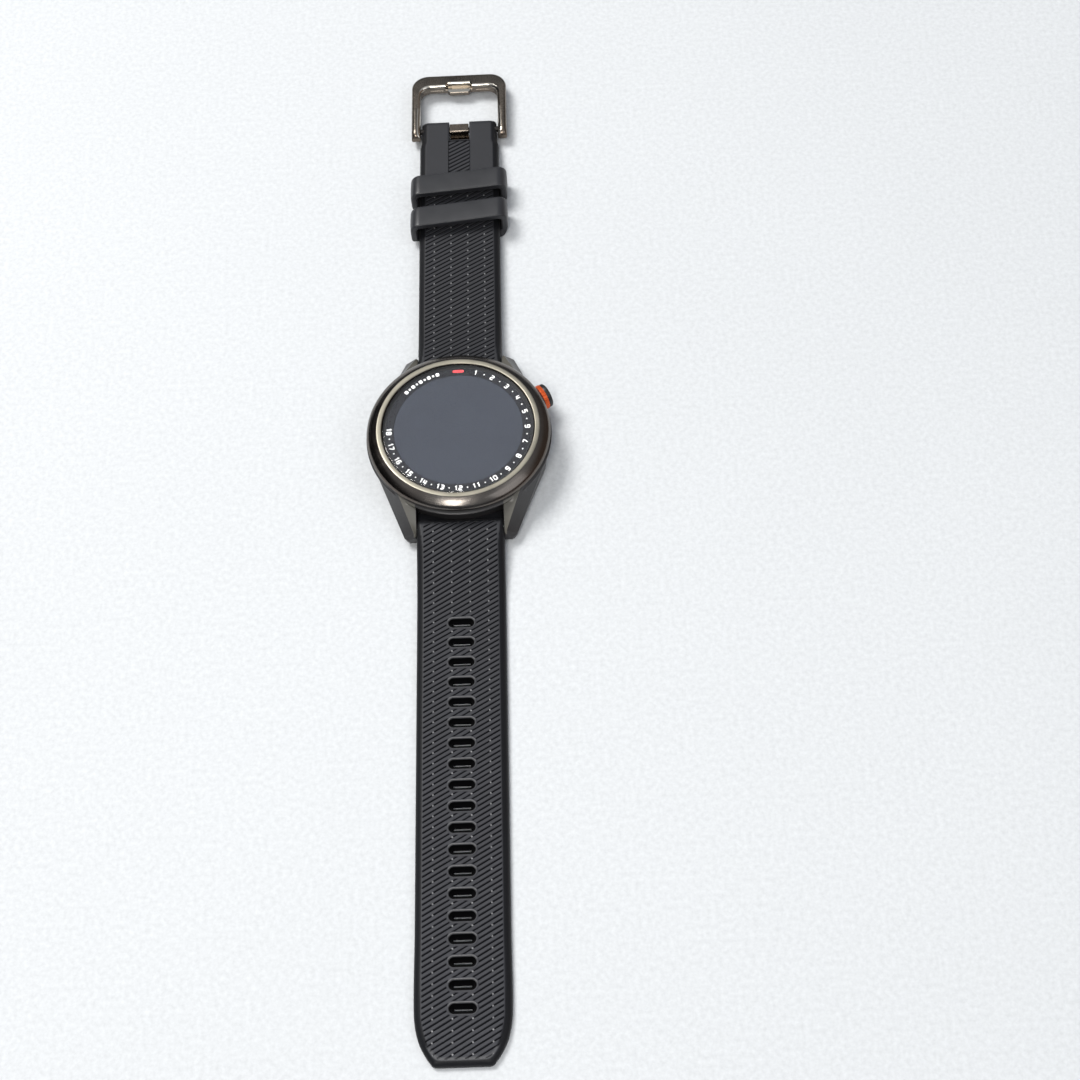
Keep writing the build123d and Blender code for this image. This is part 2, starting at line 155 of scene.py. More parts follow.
def pchip(xs, ys, x):
    xs, ys, x = np.asarray(xs, float), np.asarray(ys, float), np.asarray(x, float)
    h = np.diff(xs)
    d = np.diff(ys) / h
    m = np.zeros_like(ys)
    for i in range(1, len(xs) - 1):
        if d[i - 1] * d[i] > 0:
            w1, w2 = 2 * h[i] + h[i - 1], h[i] + 2 * h[i - 1]
            m[i] = (w1 + w2) / (w1 / d[i - 1] + w2 / d[i])
    m[0], m[-1] = d[0], d[-1]
    k = np.clip(np.searchsorted(xs, x) - 1, 0, len(xs) - 2)
    t = (x - xs[k]) / h[k]
    return ((2 * t ** 3 - 3 * t ** 2 + 1) * ys[k] + (t ** 3 - 2 * t ** 2 + t) * h[k] * m[k]
            + (-2 * t ** 3 + 3 * t ** 2) * ys[k + 1] + (t ** 3 - t ** 2) * h[k] * m[k + 1])


def ease(e0, e1, x):
    t = np.clip((np.asarray(x, float) - e0) / (e1 - e0), 0, 1)
    return t * t * (3 - 2 * t)


# ------------------------------------------------------------------ materials
def tree(name):
    m = bpy.data.materials.new(name)
    m.use_nodes = True
    nt = m.node_tree
    nt.nodes.clear()
    return m, nt


def node(nt, kind, **values):
    n = nt.nodes.new(kind)
    for k, v in values.items():
        if k in n.inputs:
            n.inputs[k].default_value = v
        else:
            setattr(n, k, v)
    return n


def math_node(nt, op, a, b=None, c=None, clamp=False):
    n = nt.nodes.new("ShaderNodeMath")
    n.operation = op
    n.use_clamp = clamp
    for i, v in enumerate((a, b, c)):
        if v is None:
            continue
        if isinstance(v, (int, float)):
            n.inputs[i].default_value = v
        else:
            nt.links.new(v, n.inputs[i])
    return n.outputs[0]


def map_range(nt, v, a, b, c, d):
    n = nt.nodes.new("ShaderNodeMapRange")
    nt.links.new(v, n.inputs["Value"])
    n.inputs["From Min"].default_value, n.inputs["From Max"].default_value = a, b
    n.inputs["To Min"].default_value, n.inputs["To Max"].default_value = c, d
    return n.outputs["Result"]


def mix_colour(nt, fac, a, b, mode="MIX"):
    n = nt.nodes.new("ShaderNodeMix")
    n.data_type = "RGBA"
    n.blend_type = mode
    for sock, v in (("Factor", fac), ("A", a), ("B", b)):
        s = [i for i in n.inputs if i.name == sock and (sock == "Factor" and i.type == "VALUE" or i.type == "RGBA")][0]
        if isinstance(v, (int, float)):
            s.default_value = v
        elif isinstance(v, tuple):
            s.default_value = (*v[:3], 1)
        else:
            nt.links.new(v, s)
    return [o for o in n.outputs if o.type == "RGBA"][0]


def noise(nt, vec, scale, detail=3.0, rough=0.55, dims="3D"):
    n = nt.nodes.new("ShaderNodeTexNoise")
    n.noise_dimensions = dims
    n.inputs["Scale"].default_value = scale
    n.inputs["Detail"].default_value = detail
    n.inputs["Roughness"].default_value = rough
    if vec is not None:
        nt.links.new(vec, n.inputs["W" if dims == "1D" else "Vector"])
    return n.outputs["Fac"]


def srgb(r, g, b):
    def f(c):
        c /= 255.0
        return c / 12.92 if c <= 0.04045 else ((c + 0.055) / 1.055) ** 2.4
    return (f(r), f(g), f(b))


def material(name, colour, rough, metal=0.0, var=0.18, blotch=250.0, grain=6000.0, bump=0.12, depth=0.00002,
             rough_var=0.08, grain_mix=0.35, tint=None, tint_amount=0.0, stretch=None, rings=0.0, edge_wear=None, **constants):
    """Principled surface with procedural colour blotches, roughness variation and fine grain relief."""
    m, nt = tree(name)
    out = node(nt, "ShaderNodeOutputMaterial")
    p = node(nt, "ShaderNodeBsdfPrincipled")
    nt.links.new(p.outputs["BSDF"], out.inputs["Surface"])
    tc = node(nt, "ShaderNodeTexCoord")
    vec = tc.outputs["Object"]
    if stretch:
        mp = node(nt, "ShaderNodeMapping")
        mp.inputs["Scale"].default_value = stretch
        nt.links.new(vec, mp.inputs["Vector"])
        gvec = mp.outputs["Vector"]
    else:
        gvec = vec
    big = noise(nt, vec, blotch, 4.0, 0.6)
    fine = noise(nt, gvec, grain, 3.0, 0.6)
    dark = tuple(c * (1 - var) for c in colour)
    light = tuple(min(1.0, c * (1 + var)) for c in colour)
    col = mix_colour(nt, map_range(nt, big, 0.3, 0.7, 0.0, 1.0), dark, light)
    col = mix_colour(nt, map_range(nt, fine, 0.25, 0.75, 0.0, grain_mix), col, tuple(c * 0.55 for c in colour))
    if tint is not None:
        patch = noise(nt, vec, blotch * 0.35, 2.0, 0.5)
        col = mix_colour(nt, map_range(nt, patch, 0.4, 0.65, 0.0, tint_amount), col, tint)
    r = map_range(nt, fine, 0.2, 0.8, max(0.02, rough - rough_var), min(1.0, rough + rough_var))
    r2 = map_range(nt, big, 0.3, 0.7, -0.04, 0.04)
    r = math_node(nt, "ADD", r, r2, clamp=True)
    height = fine
    if rings > 0:
        sx = node(nt, "ShaderNodeSeparateXYZ")
        nt.links.new(vec, sx.inputs[0])
        rr = math_node(nt, "SQRT", math_node(nt, "ADD", math_node(nt, "MULTIPLY", sx.outputs[0], sx.outputs[0]),
                                             math_node(nt, "MULTIPLY", sx.outputs[1], sx.outputs[1])))
        turned = noise(nt, rr, rings, 4.0, 0.7, "1D")
        col = mix_colour(nt, map_range(nt, turned, 0.3, 0.7, 0.0, 0.45), col, tuple(c * 0.62 for c in colour))
        height = math_node(nt, "ADD", math_node(nt, "MULTIPLY", fine, 0.25), turned)
        r = math_node(nt, "ADD", r, map_range(nt, turned, 0.3, 0.7, -0.06, 0.06), clamp=True)
    nt.links.new(col, p.inputs["Base Color"])
    nt.links.new(r, p.inputs["Roughness"])
    b = node(nt, "ShaderNodeBump")
    b.inputs["Strength"].default_value = bump
    b.inputs["Distance"].default_value = depth
    nt.links.new(height, b.inputs["Height"])
    nt.links.new(b.outputs["Normal"], p.inputs["Normal"])
    p.inputs["Metallic"].default_value = metal
    for k, v in constants.items():
        p.inputs[k.replace("_", " ")].default_value = v
    return m


def glass_material(name, tint, rough, ior=1.5):
    """Clear glass: principled transmission for what is seen, see-through for the shadows it casts."""
    m, nt = tree(name)
    out = node(nt, "ShaderNodeOutputMaterial")
    p = node(nt, "ShaderNodeBsdfPrincipled")
    tr = node(nt, "ShaderNodeBsdfTransparent")
    mx = node(nt, "ShaderNodeMixShader")
    lp = node(nt, "ShaderNodeLightPath")
    tc = node(nt, "ShaderNodeTexCoord")
    smudge = noise(nt, tc.outputs["Object"], 70.0, 2.0, 0.5)
    r = map_range(nt, smudge, 0.35, 0.75, rough, rough)
    nt.links.new(r, p.inputs["Roughness"])
    col = mix_colour(nt, map_range(nt, smudge, 0.3, 0.7, 0.0, 1.0), tint, tuple(c * 0.96 for c in tint))
    nt.links.new(col, p.inputs["Base Color"])
    p.inputs["Transmission Weight"].default_value = 1.0
    p.inputs["IOR"].default_value = ior
    nt.links.new(lp.outputs["Is Shadow Ray"], mx.inputs[0])
    nt.links.new(p.outputs["BSDF"], mx.inputs[1])
    nt.links.new(tr.outputs["BSDF"], mx.inputs[2])
    nt.links.new(mx.outputs[0], out.inputs["Surface"])
    return m


def strap_material(name, base_y, light_tone):
    """Moulded silicone with satin grain and light dust specks; painted shade darkens the slanted grooves, edges, slot
    walls and the head under the case, painted highlights lighten the groove shoulders, pips and slot lips, and a
    painted light gradient runs along the strap.
    """
    m, nt = tree(name)
    out = node(nt, "ShaderNodeOutputMaterial")
    p = node(nt, "ShaderNodeBsdfPrincipled")
    nt.links.new(p.outputs["BSDF"], out.inputs["Surface"])
    tc = node(nt, "ShaderNodeTexCoord")
    vec = tc.outputs["Object"]
    sx = node(nt, "ShaderNodeSeparateXYZ")
    nt.links.new(vec, sx.inputs[0])
    w = math_node(nt, "MULTIPLY_ADD", sx.outputs[0], -GROOVE_SLOPE, sx.outputs[1])
    w = math_node(nt, "DIVIDE", math_node(nt, "SUBTRACT", w, base_y * MM), GROOVE_PITCH * MM)
    w = math_node(nt, "ABSOLUTE", math_node(nt, "SUBTRACT", math_node(nt, "FRACT", math_node(nt, "ADD", w, 0.5)), 0.5))
    groove_shade = map_range(nt, w, 0.09, 0.18, 1.0, 0.0)
    shoulder_highlight = math_node(nt, "MULTIPLY", map_range(nt, w, 0.18, 0.24, 0.0, 1.0), map_range(nt, w, 0.27, 0.36, 1.0, 0.0))

    def attr(key):
        a = node(nt, "ShaderNodeAttribute")
        a.attribute_name = key
        return a.outputs["Fac"]
    panel, pip, lip_highlight, rim_shade, well_shade = attr("panel"), attr("pip"), attr("lip_highlight"), attr("rim_shade"), attr("well_shade")
    px = math_node(nt, "MULTIPLY", math_node(nt, "SUBTRACT", math_node(nt, "FRACT", math_node(nt, "DIVIDE", sx.outputs[0], 0.0042)), 0.5), 4.2)
    py = math_node(nt, "DIVIDE", math_node(nt, "SUBTRACT", sx.outputs[1], base_y * MM), 0.0025)
    py = math_node(nt, "MULTIPLY", math_node(nt, "SUBTRACT", math_node(nt, "FRACT", math_node(nt, "ADD", py, 0.5)), 0.5), 2.5)
    pr = math_node(nt, "SQRT", math_node(nt, "ADD", math_node(nt, "MULTIPLY", px, px), math_node(nt, "MULTIPLY", py, py)))
    pip_highlight = math_node(nt, "MULTIPLY", map_range(nt, pr, 0.16, 0.23, 1.0, 0.0), map_range(nt, pip, 0.0, 0.05, 0.0, 1.0))
    groove_shade = math_node(nt, "MULTIPLY", groove_shade, panel)
    shoulder_highlight = math_node(nt, "MULTIPLY", shoulder_highlight, panel)
    big = noise(nt, vec, 120.0, 4.0, 0.6)
    fine = noise(nt, vec, 9000.0, 3.0, 0.6)
    base = SILICONE
    col = mix_colour(nt, map_range(nt, big, 0.3, 0.7, 0.0, 1.0), tuple(c * 0.9 for c in base), tuple(c * 1.12 for c in base))
    col = mix_colour(nt, map_range(nt, fine, 0.3, 0.7, 0.0, 0.3), col, tuple(c * 0.6 for c in base))
    dust = noise(nt, vec, 2600.0, 2.0, 0.5)
    col = mix_colour(nt, map_range(nt, dust, 0.66, 0.74, 0.0, 0.35), col, tuple(c * 2.6 for c in base))
    # painted light and shade: the long strap's colour is lightened towards its free end, where the sheen falls, and the
    # short strap's is darkened all over
    painted_light_gradient = map_range(nt, sx.outputs[1], -0.148, -0.03, light_tone[1], light_tone[0])
    grey = node(nt, "ShaderNodeCombineXYZ")
    for i in range(3):
        nt.links.new(painted_light_gradient, grey.inputs[i])
    col = mix_colour(nt, 1.0, col, grey.outputs[0], "MULTIPLY")
    # painted shade: the grooves are darkened where shade falls in the creases
    col = mix_colour(nt, math_node(nt, "MULTIPLY", groove_shade, 0.92), col, tuple(c * 0.12 for c in base))
    # painted highlight: a lighter band on the groove shoulders where light catches the slope
    col = mix_colour(nt, math_node(nt, "MULTIPLY", shoulder_highlight, 0.35), col, tuple(c * 2.0 for c in base))
    # painted highlight: the pip tops are brightened where they catch light
    col = mix_colour(nt, pip_highlight, col, srgb(136, 136, 138))
    # painted highlight on the slot lips and along the tip's panel border
    col = mix_colour(nt, math_node(nt, "MULTIPLY", lip_highlight, 0.95), col, srgb(98, 98, 100))
    # painted shade on the bevels, sides, slot walls and the head under the case
    col = mix_colour(nt, math_node(nt, "MULTIPLY", rim_shade, 0.9), col, tuple(c * 0.26 for c in base))
    # painted shade: the slot walls inside are made nearly black
    col = mix_colour(nt, math_node(nt, "MULTIPLY", well_shade, 0.97), col, tuple(c * 0.05 for c in base))
    nt.links.new(col, p.inputs["Base Color"])
    r = map_range(nt, fine, 0.2, 0.8, 0.50, 0.66)
    r = math_node(nt, "SUBTRACT", r, math_node(nt, "MULTIPLY", math_node(nt, "ADD", math_node(nt, "ADD", pip, lip_highlight), rim_shade), 0.12), clamp=True)
    r = math_node(nt, "MAXIMUM", r, math_node(nt, "MULTIPLY", well_shade, 0.95))
    nt.links.new(r, p.inputs["Roughness"])
    b = node(nt, "ShaderNodeBump")
    b.inputs["Strength"].default_value = 0.16
    b.inputs["Distance"].default_value = 0.00003
    nt.links.new(fine, b.inputs["Height"])
    nt.links.new(b.outputs["Normal"], p.inputs["Normal"])
    dull = math_node(nt, "MAXIMUM", math_node(nt, "MAXIMUM", well_shade, math_node(nt, "MULTIPLY", rim_shade, 0.6)), math_node(nt, "MULTIPLY", groove_shade, math_node(nt, "SUBTRACT", 1.0, pip_highlight)))
    nt.links.new(map_range(nt, dull, 0.0, 1.0, 0.38, 0.03), p.inputs["Specular IOR Level"])
    p.inputs["Sheen Weight"].default_value = 0.03
    return m


SILICONE = srgb(38, 39, 44)

MATS = {
    "case_polymer": material("case_polymer", srgb(50, 49, 50), 0.40, grain=7500.0, bump=0.22, depth=0.00003, blotch=180.0),
    "bezel_metal": material("bezel_metal", srgb(110, 106, 102), 0.20, 1.0, var=0.08, rings=7000.0, bump=0.06, depth=0.000006,
                            tint=srgb(106, 90, 80), tint_amount=0.35, rough_var=0.04),
    "bezel_face": material("bezel_face", srgb(152, 147, 134), 0.36, 1.0, var=0.05, rings=14000.0, bump=0.12, depth=0.000008,
                           rough_var=0.05),
    "polished_edge": material("polished_edge", srgb(206, 200, 190), 0.16, 1.0, var=0.05, grain=9000.0, bump=0.04,
                              rough_var=0.03),
    "lens_glass": glass_material("lens_glass", (0.93, 0.94, 0.97), 0.0, 1.52),
    "black_print": material("black_print", srgb(20, 20, 23), 0.6, grain=3000.0, bump=0.0, var=0.05, grain_mix=0.05, Specular_IOR_Level=0.05),
    "display_glass": material("display_glass", srgb(50, 53, 60), 0.6, grain=3000.0, bump=0.0, var=0.02, blotch=60.0,
                              rough_var=0.02, grain_mix=0.03, Specular_IOR_Level=0.0),
    "white_film": material("white_film", srgb(236, 236, 232), 0.5, grain=9000.0, bump=0.1, var=0.03),
    "inner_plastic": material("inner_plastic", srgb(60, 60, 60), 0.55, bump=0.2),
    "antenna_metal": material("antenna_metal", srgb(205, 196, 180), 0.3, 1.0, stretch=(1, 8, 1)),
    "circuit_board": material("circuit_board", srgb(24, 70, 46), 0.45, tint=srgb(150, 120, 50), tint_amount=0.35),
    "shield_steel": material("shield_steel", srgb(190, 190, 188), 0.32, 1.0, stretch=(1, 12, 1)),
    "chip_black": material("chip_black", srgb(38, 38, 40), 0.5, bump=0.2),
    "battery_foil": material("battery_foil", srgb(176, 178, 182), 0.35, 0.9, blotch=400.0, bump=0.4),
    "foam": material("foam", srgb(48, 48, 50), 0.9, bump=0.6, grain=3500.0),
    "tungsten": material("tungsten", srgb(120, 120, 122), 0.38, 1.0, rings=6000.0),
    "gasket_rubber": material("gasket_rubber", srgb(30, 30, 32), 0.6, bump=0.2),
    "rear_polymer": material("rear_polymer", srgb(46, 46, 49), 0.42, grain=8000.0, bump=0.2),
    "screw_steel": material("screw_steel", srgb(178, 178, 176), 0.28, 1.0, rings=9000.0),
    "gold_contact": material("gold_contact", srgb(226, 182, 98), 0.22, 1.0, grain=8000.0),
    "button_black": material("button_black", srgb(30, 30, 32), 0.34, grain=7000.0, bump=0.14),
    "copper_accent": material("copper_accent", srgb(222, 96, 44), 0.30, 0.55, grain=6000.0, var=0.14, bump=0.15),
    "stem_steel": material("stem_steel", srgb(172, 172, 172), 0.25, 1.0, stretch=(1, 1, 10)),
    "flex_film": material("flex_film", srgb(170, 96, 40), 0.35, tint=srgb(200, 140, 70), tint_amount=0.4),
    # painted shade: the keepers' silicone is darkened to 0.74 of the strap's for their shaded faces
    "strap_silicone": material("keeper_silicone", tuple(c * 0.74 for c in SILICONE), 0.40, grain=9000.0, bump=0.14, depth=0.00003, blotch=140.0,
                               Sheen_Weight=0.05, Specular_IOR_Level=0.5),
    "dark_pin": material("dark_pin", srgb(48, 46, 45), 0.45, 1.0, grain=7000.0, bump=0.1),
    "buckle_metal": material("buckle_metal", srgb(112, 105, 97), 0.27, 1.0, var=0.12, blotch=220.0, grain=7000.0, bump=0.1,
                             tint=srgb(120, 98, 82), tint_amount=0.3),
}


# ---------------------------------------------------------------------- straps
def strap(name, sy, keys, base_y, u0, u1, slots, channel=None, hub_from=None, grooved_to=None, tip=False, phase_u=0.0):
    """One strap half. u is the distance from the case centre; y = sy * u.

    keys: rows (u, half width, underside z, top z, edge bevel width, edge bevel drop).
    """
    keys = np.array(keys, float)

    def col(i, u):
        return pchip(keys[:, 0], keys[:, i], u)
    us = [u0]
    first = phase_u + DY * math.ceil((u0 - phase_u) / DY + 0.2)
    u = first
    while u < u1 - 0.6 * DY:
        us.append(u)
        u += DY
    if tip:
        us += [u1 - 0.05, u1]
    else:
        us += [u1]
    us = np.array(us)
    nrow = len(us)
    hw, zb, zt, bw, bd = (col(i, us) for i in range(1, 6))
    slope = np.abs(np.gradient(hw, us))
    cosa = 1 / np.sqrt(1 + slope ** 2)
    grid = np.arange(-32, 33) * DX
    v = np.array([0.11, 0.24, 0.38, 0.52, 0.66, 0.80, 0.92, 1.0])
    scale = np.minimum(1.0, (hw - bw * 0.9) / PANEL)
    X = np.zeros((nrow, 81))
    for i in range(nrow):
        inner = grid * scale[i]
        edge = inner[-1]
        outer = edge + (hw[i] - edge) * v
        X[i] = np.concatenate([-outer[::-1], inner, outer])
    U = np.repeat(us[:, None], 81, 1)
    Y = sy * U

    def end_y(i, x):
        """Along-strap place of a point: the first row is cut back in two facets round the case."""
        return sy * (u0 - 0.32 * max(0.0, abs(x) - 10 * DX) if i == 0 else us[i])
    Y[0] = [end_y(0, x) for x in X[0]]

    def fields(x, u, i_hw, i_zt, i_bw, i_bd, i_cos):
        """Top height, the panel and pip masks, and the painted lip-highlight and rim-shade masks at points."""
        y = sy * u
        ex = np.maximum((i_hw - np.abs(x)) * i_cos, 0)
        if tip:
            ey = np.maximum(u1 - u, 0)
            e = np.where((ex > 0) & (ey > 0), ex * ey / np.maximum((ex ** 3 + ey ** 3) ** (1 / 3), 1e-9), 0)
        else:
            e = ex
        t = np.clip(1 - e / i_bw, 0, 1)
        drop = i_bd * (0.3 * t + 0.7 * (1 - np.sqrt(np.maximum(1 - t * t, 0))))
        z = i_zt - drop
        border = np.minimum(i_bw, 1.6) + 0.02
        if tip:
            border = border - 0.42 * ease(u1 - 7.0, u1 - 4.0, u)
        inside = ((np.abs(x) < PANEL + 0.06) & (e > border)).astype(float)
        start = ease(22.0, 22.3, u)
        panel = inside * start
        if grooved_to is not None:
            after = (u > grooved_to).astype(float)
            chan = (np.abs(x) < channel + 0.02).astype(float) * ((u > grooved_to + 0.1) & (u < hub_from - 0.3))
            panel = panel * (1 - after) + chan * after
            z = z - 0.30 * chan
            over = (u >= hub_from - 0.01) & (np.abs(np.abs(x) - channel) < 0.02)
            z = z - 0.16 * over
        d = np.full(x.shape, 9.0)
        if slots:
            k = np.clip(np.round((u - SLOT_FIRST) / SLOT_PITCH), 0, SLOT_N - 1)
            du = u - (SLOT_FIRST + k * SLOT_PITCH)
            d = np.hypot(np.maximum(np.abs(x) - SLOT_HALF, 0), du) - SLOT_R
            lipz = np.interp(d, [0, 0.05, 0.14, 0.27, 0.40, 0.52], [-0.25, -0.07, 0.06, 0.11, 0.07, 0.0])
            z = z + lipz
            panel = panel * (d > 0.53)
        # painted highlight round each slot's lip, strongest on its far side
        lip_highlight = np.zeros_like(x)
        if slots:
            lip_highlight = ease(0.0, 0.04, d) * (1 - ease(0.30, 0.42, d)) * (0.22 + 0.78 * ease(0.25, 0.85, -du))
        ph = (y - GROOVE_SLOPE * x - base_y) / GROOVE_PITCH
        w = np.abs((ph + 0.5) % 1 - 0.5)
        g = np.interp(w, [0, 0.125, 0.20], [-0.27, -0.17, 0.0])
        # pips stand on every second groove, in four columns
        py = (y - base_y - 0.0) / 2.5
        ry = ((py + 0.5) % 1 - 0.5) * 2.5
        pip = np.zeros_like(x)
        for c in (-6.3, -2.1, 2.1, 6.3):
            r = np.hypot(x - c, ry)
            pip = np.maximum(pip, 1 - (r / 0.24) ** 2)
        limit = grooved_to if grooved_to is not None else 1e9
        pip = np.clip(pip, 0, 1) * (u < limit) * panel
        tex = np.where(pip > 0.02, 0.02 + 0.09 * pip, g) * panel
        # painted shade on the edge bevels, and a painted shadow of the case across the strap head
        rim_shade = ease(0.02, 0.16, t)
        rim_shade = np.maximum(rim_shade, 0.85 * (1 - ease(21.7, 22.5, u)))
        # at the tip: a painted highlight line along the panel border, and painted shade on the tip bevel
        if tip:
            at_tip = ease(u1 - 4.6, u1 - 3.2, u)
            lip_highlight = np.maximum(lip_highlight, 0.55 * at_tip * ease(0.95, 1.12, e) * (1 - ease(1.35, 1.75, e)))
            rim_shade = rim_shade * (1 - at_tip) + at_tip * ease(0.34, 0.52, t)
        return z + tex, panel, pip, lip_highlight, rim_shade

    full = [np.repeat(a[:, None], 81, 1) for a in (hw, zt, bw, bd, cosa)]
    Z, P, Q, L, E = fields(X, U, *full)
    foot = np.minimum(0.5, 0.28 * (zt - zb))
    verts, panel, pip, lip_highlight, rim_shade, well_shade, loops = [], [], [], [], [], [], []
    edge_z = Z[:, 0]
    side = np.minimum(edge_z - 0.12, zb + foot)
    ch = channel if channel else 2.625
    for i in range(nrow):
        base = len(verts)
        for j in range(81):
            verts.append((X[i, j], Y[i, j], Z[i, j]))
        panel += list(P[i]); pip += list(Q[i]); lip_highlight += list(L[i]); rim_shade += list(E[i]); well_shade += [0] * 89
        h, b, f = hw[i], zb[i], foot[i]
        extra = [(h, side[i]), (h - 0.27 * f, b + 0.27 * f), (h - f, b), (ch, b), (-ch, b),
                 (-h + f, b), (-h + 0.27 * f, b + 0.27 * f), (-h, side[i])]
        verts += [(x_, end_y(i, x_), z_) for x_, z_ in extra]
        # painted shade on the side walls down to the foot
        panel += [0] * 8; pip += [0] * 8; lip_highlight += [0] * 8; rim_shade += [1, 1, 0, 0, 0, 0, 1, 1]
        loops.append(list(range(base, base + 89)))
    faces = []
    cells = {}
    if slots:
        for k in range(SLOT_N):
            c = SLOT_FIRST + k * SLOT_PITCH
            i0 = int(np.argmin(np.abs(us - (c - 2.5))))
            i1 = int(np.argmin(np.abs(us - (c + 2.5))))
            cells[k] = (i0, i1)
    cell_row = {}
    for k, (i0, i1) in cells.items():
        for i in range(i0, i1):
            cell_row[i] = k
    c0, c1 = 40 - 14, 40 + 14
    h0, h1 = 40 - 10, 40 + 10
    hub_row = None
    if hub_from is not None:
        hub_row = int(np.argmin(np.abs(us - hub_from)))
    for i in range(nrow - 1):
        a, b = loops[i], loops[i + 1]
        in_cell = i in cell_row
        in_hub = hub_row is not None and i >= hub_row
        for j in range(80):
            if in_cell and c0 <= j < c1:
                continue
            if in_hub and h0 <= j < h1:
                continue
            if sy > 0:
                faces.append((a[j], a[j + 1], b[j + 1]))
                faces.append((a[j], b[j + 1], b[j]))
            else:
                faces.append((a[j], a[j + 1], b[j]))
                faces.append((a[j + 1], b[j + 1], b[j]))
        for j in (80, 81, 82, 86, 87, 88):
            faces.append((a[j], a[(j + 1) % 89], b[(j + 1) % 89], b[j]))
        if not in_cell:
            faces.append((a[83], a[84], b[84], b[83]))
            faces.append((a[85], a[86], b[86], b[85]))
            if not in_hub:
                faces.append((a[84], a[85], b[85], b[84]))
        if in_hub:
            faces.append((a[h0], b[h0], b[85], a[85]))
            faces.append((a[h1], b[h1], b[84], a[84]))
    r = loops[0]
    faces.append(tuple(r[50:85]))
    faces.append(tuple(r[30:51] + [r[84], r[85]]))
    faces.append(tuple(r[85:89] + r[0:31]))
    last = loops[-1]
    if hub_row is None:
        faces.append(tuple(last))
    else:
        faces.append(tuple(last[h1:85]))
        faces.append(tuple(last[85:] + last[:h0 + 1]))
        r = loops[hub_row]
        faces.append(tuple(r[h0:h1 + 1] + [r[84], r[85]]))
    # each adjustment slot: rings from the cell border in to the slot wall and down through the strap
    for k, (i0, i1) in cells.items():
        cu = SLOT_FIRST + k * SLOT_PITCH
        border = ([loops[i0][j] for j in range(c0, c1)] + [loops[i][c1] for i in range(i0, i1)]
                  + [loops[i1][j] for j in range(c1, c0, -1)] + [loops[i][c0] for i in range(i1, i0, -1)])
        n = len(border)
        P0 = np.array([(verts[b][0], sy * verts[b][1]) for b in border])
        Q0 = np.stack([np.clip(P0[:, 0], -SLOT_HALF, SLOT_HALF), np.full(n, cu)], 1)
        D = P0 - Q0
        D /= np.linalg.norm(D, axis=1)[:, None]
        ident = (np.interp(cu, us, hw), np.interp(cu, us, zt), np.interp(cu, us, bw), np.interp(cu, us, bd), 1.0)
        prev = border
        rings = []
        start = Q0 + D * (SLOT_R + 0.54)
        for t in (0.84, 0.68, 0.53, 0.38, 0.24, 0.11):
            rings.append(start + (P0 - start) * t)
        for dd in (0.52, 0.40, 0.27, 0.14, 0.05, 0.0):
            rings.append(Q0 + D * (SLOT_R + dd))
        for R in rings:
            xs, uu = R[:, 0], R[:, 1]
            z, p_, q_, l_, e_ = fields(xs, uu, *[np.full(n, v_) for v_ in ident])
            ids = list(range(len(verts), len(verts) + n))
            for x_, u_, z_ in zip(xs, uu, z):
                verts.append((x_, sy * u_, z_))
            panel += list(p_); pip += list(q_); lip_highlight += list(l_); rim_shade += list(e_); well_shade += [0] * n
            for a in range(n):
                b = (a + 1) % n
                faces.append((prev[a], prev[b], ids[b], ids[a]))
            prev = ids
        # down the slot wall: painted shade, nearly black inside the slot
        for zz, dd in ((2.0, -0.02), (1.75, -0.12), (1.35, -0.60), (1.0, -0.95), (0.12, -0.12), (0.0, -0.04)):
            R = Q0 + D * (SLOT_R + dd)
            ids = list(range(len(verts), len(verts) + n))
            for x_, u_ in R:
                verts.append((x_, sy * u_, zz))
            panel += [0] * n; pip += [0] * n; lip_highlight += [0] * n; rim_shade += [1] * n; well_shade += [1] * n
            for a in range(n):
                b = (a + 1) % n
                faces.append((prev[a], prev[b], ids[b], ids[a]))
            prev = ids
        # the underside round the slot, in two halves
        top_mid, bot_mid = 14, 28 + 32 + 14          # places in the border where x is 0
        rightside = prev[top_mid:bot_mid + 1]
        leftside = prev[bot_mid:] + prev[:top_mid + 1]
        ra, rb = loops[i0], loops[i1]
        # right half: corner row i0 -> side rows -> row i1 -> slot outline back
        right = [ra[84]] + [loops[i][83] for i in range(i0, i1 + 1)] + [rb[84]]
        left = [rb[85]] + [loops[i][86] for i in range(i1, i0 - 1, -1)] + [ra[85]]
        faces.append(tuple(right + rightside[::-1]))
        faces.append(tuple(left + leftside[::-1]))
        # middle slivers between the row and the slot's ends
        faces.append((ra[85], ra[84], prev[top_mid]))
        faces.append((rb[84], rb[85], prev[bot_mid]))
    o = make_object(name, verts, faces, 32.0, weighted=False, attrs={"panel": panel, "pip": pip, "lip_highlight": lip_highlight, "rim_shade": rim_shade, "well_shade": well_shade})
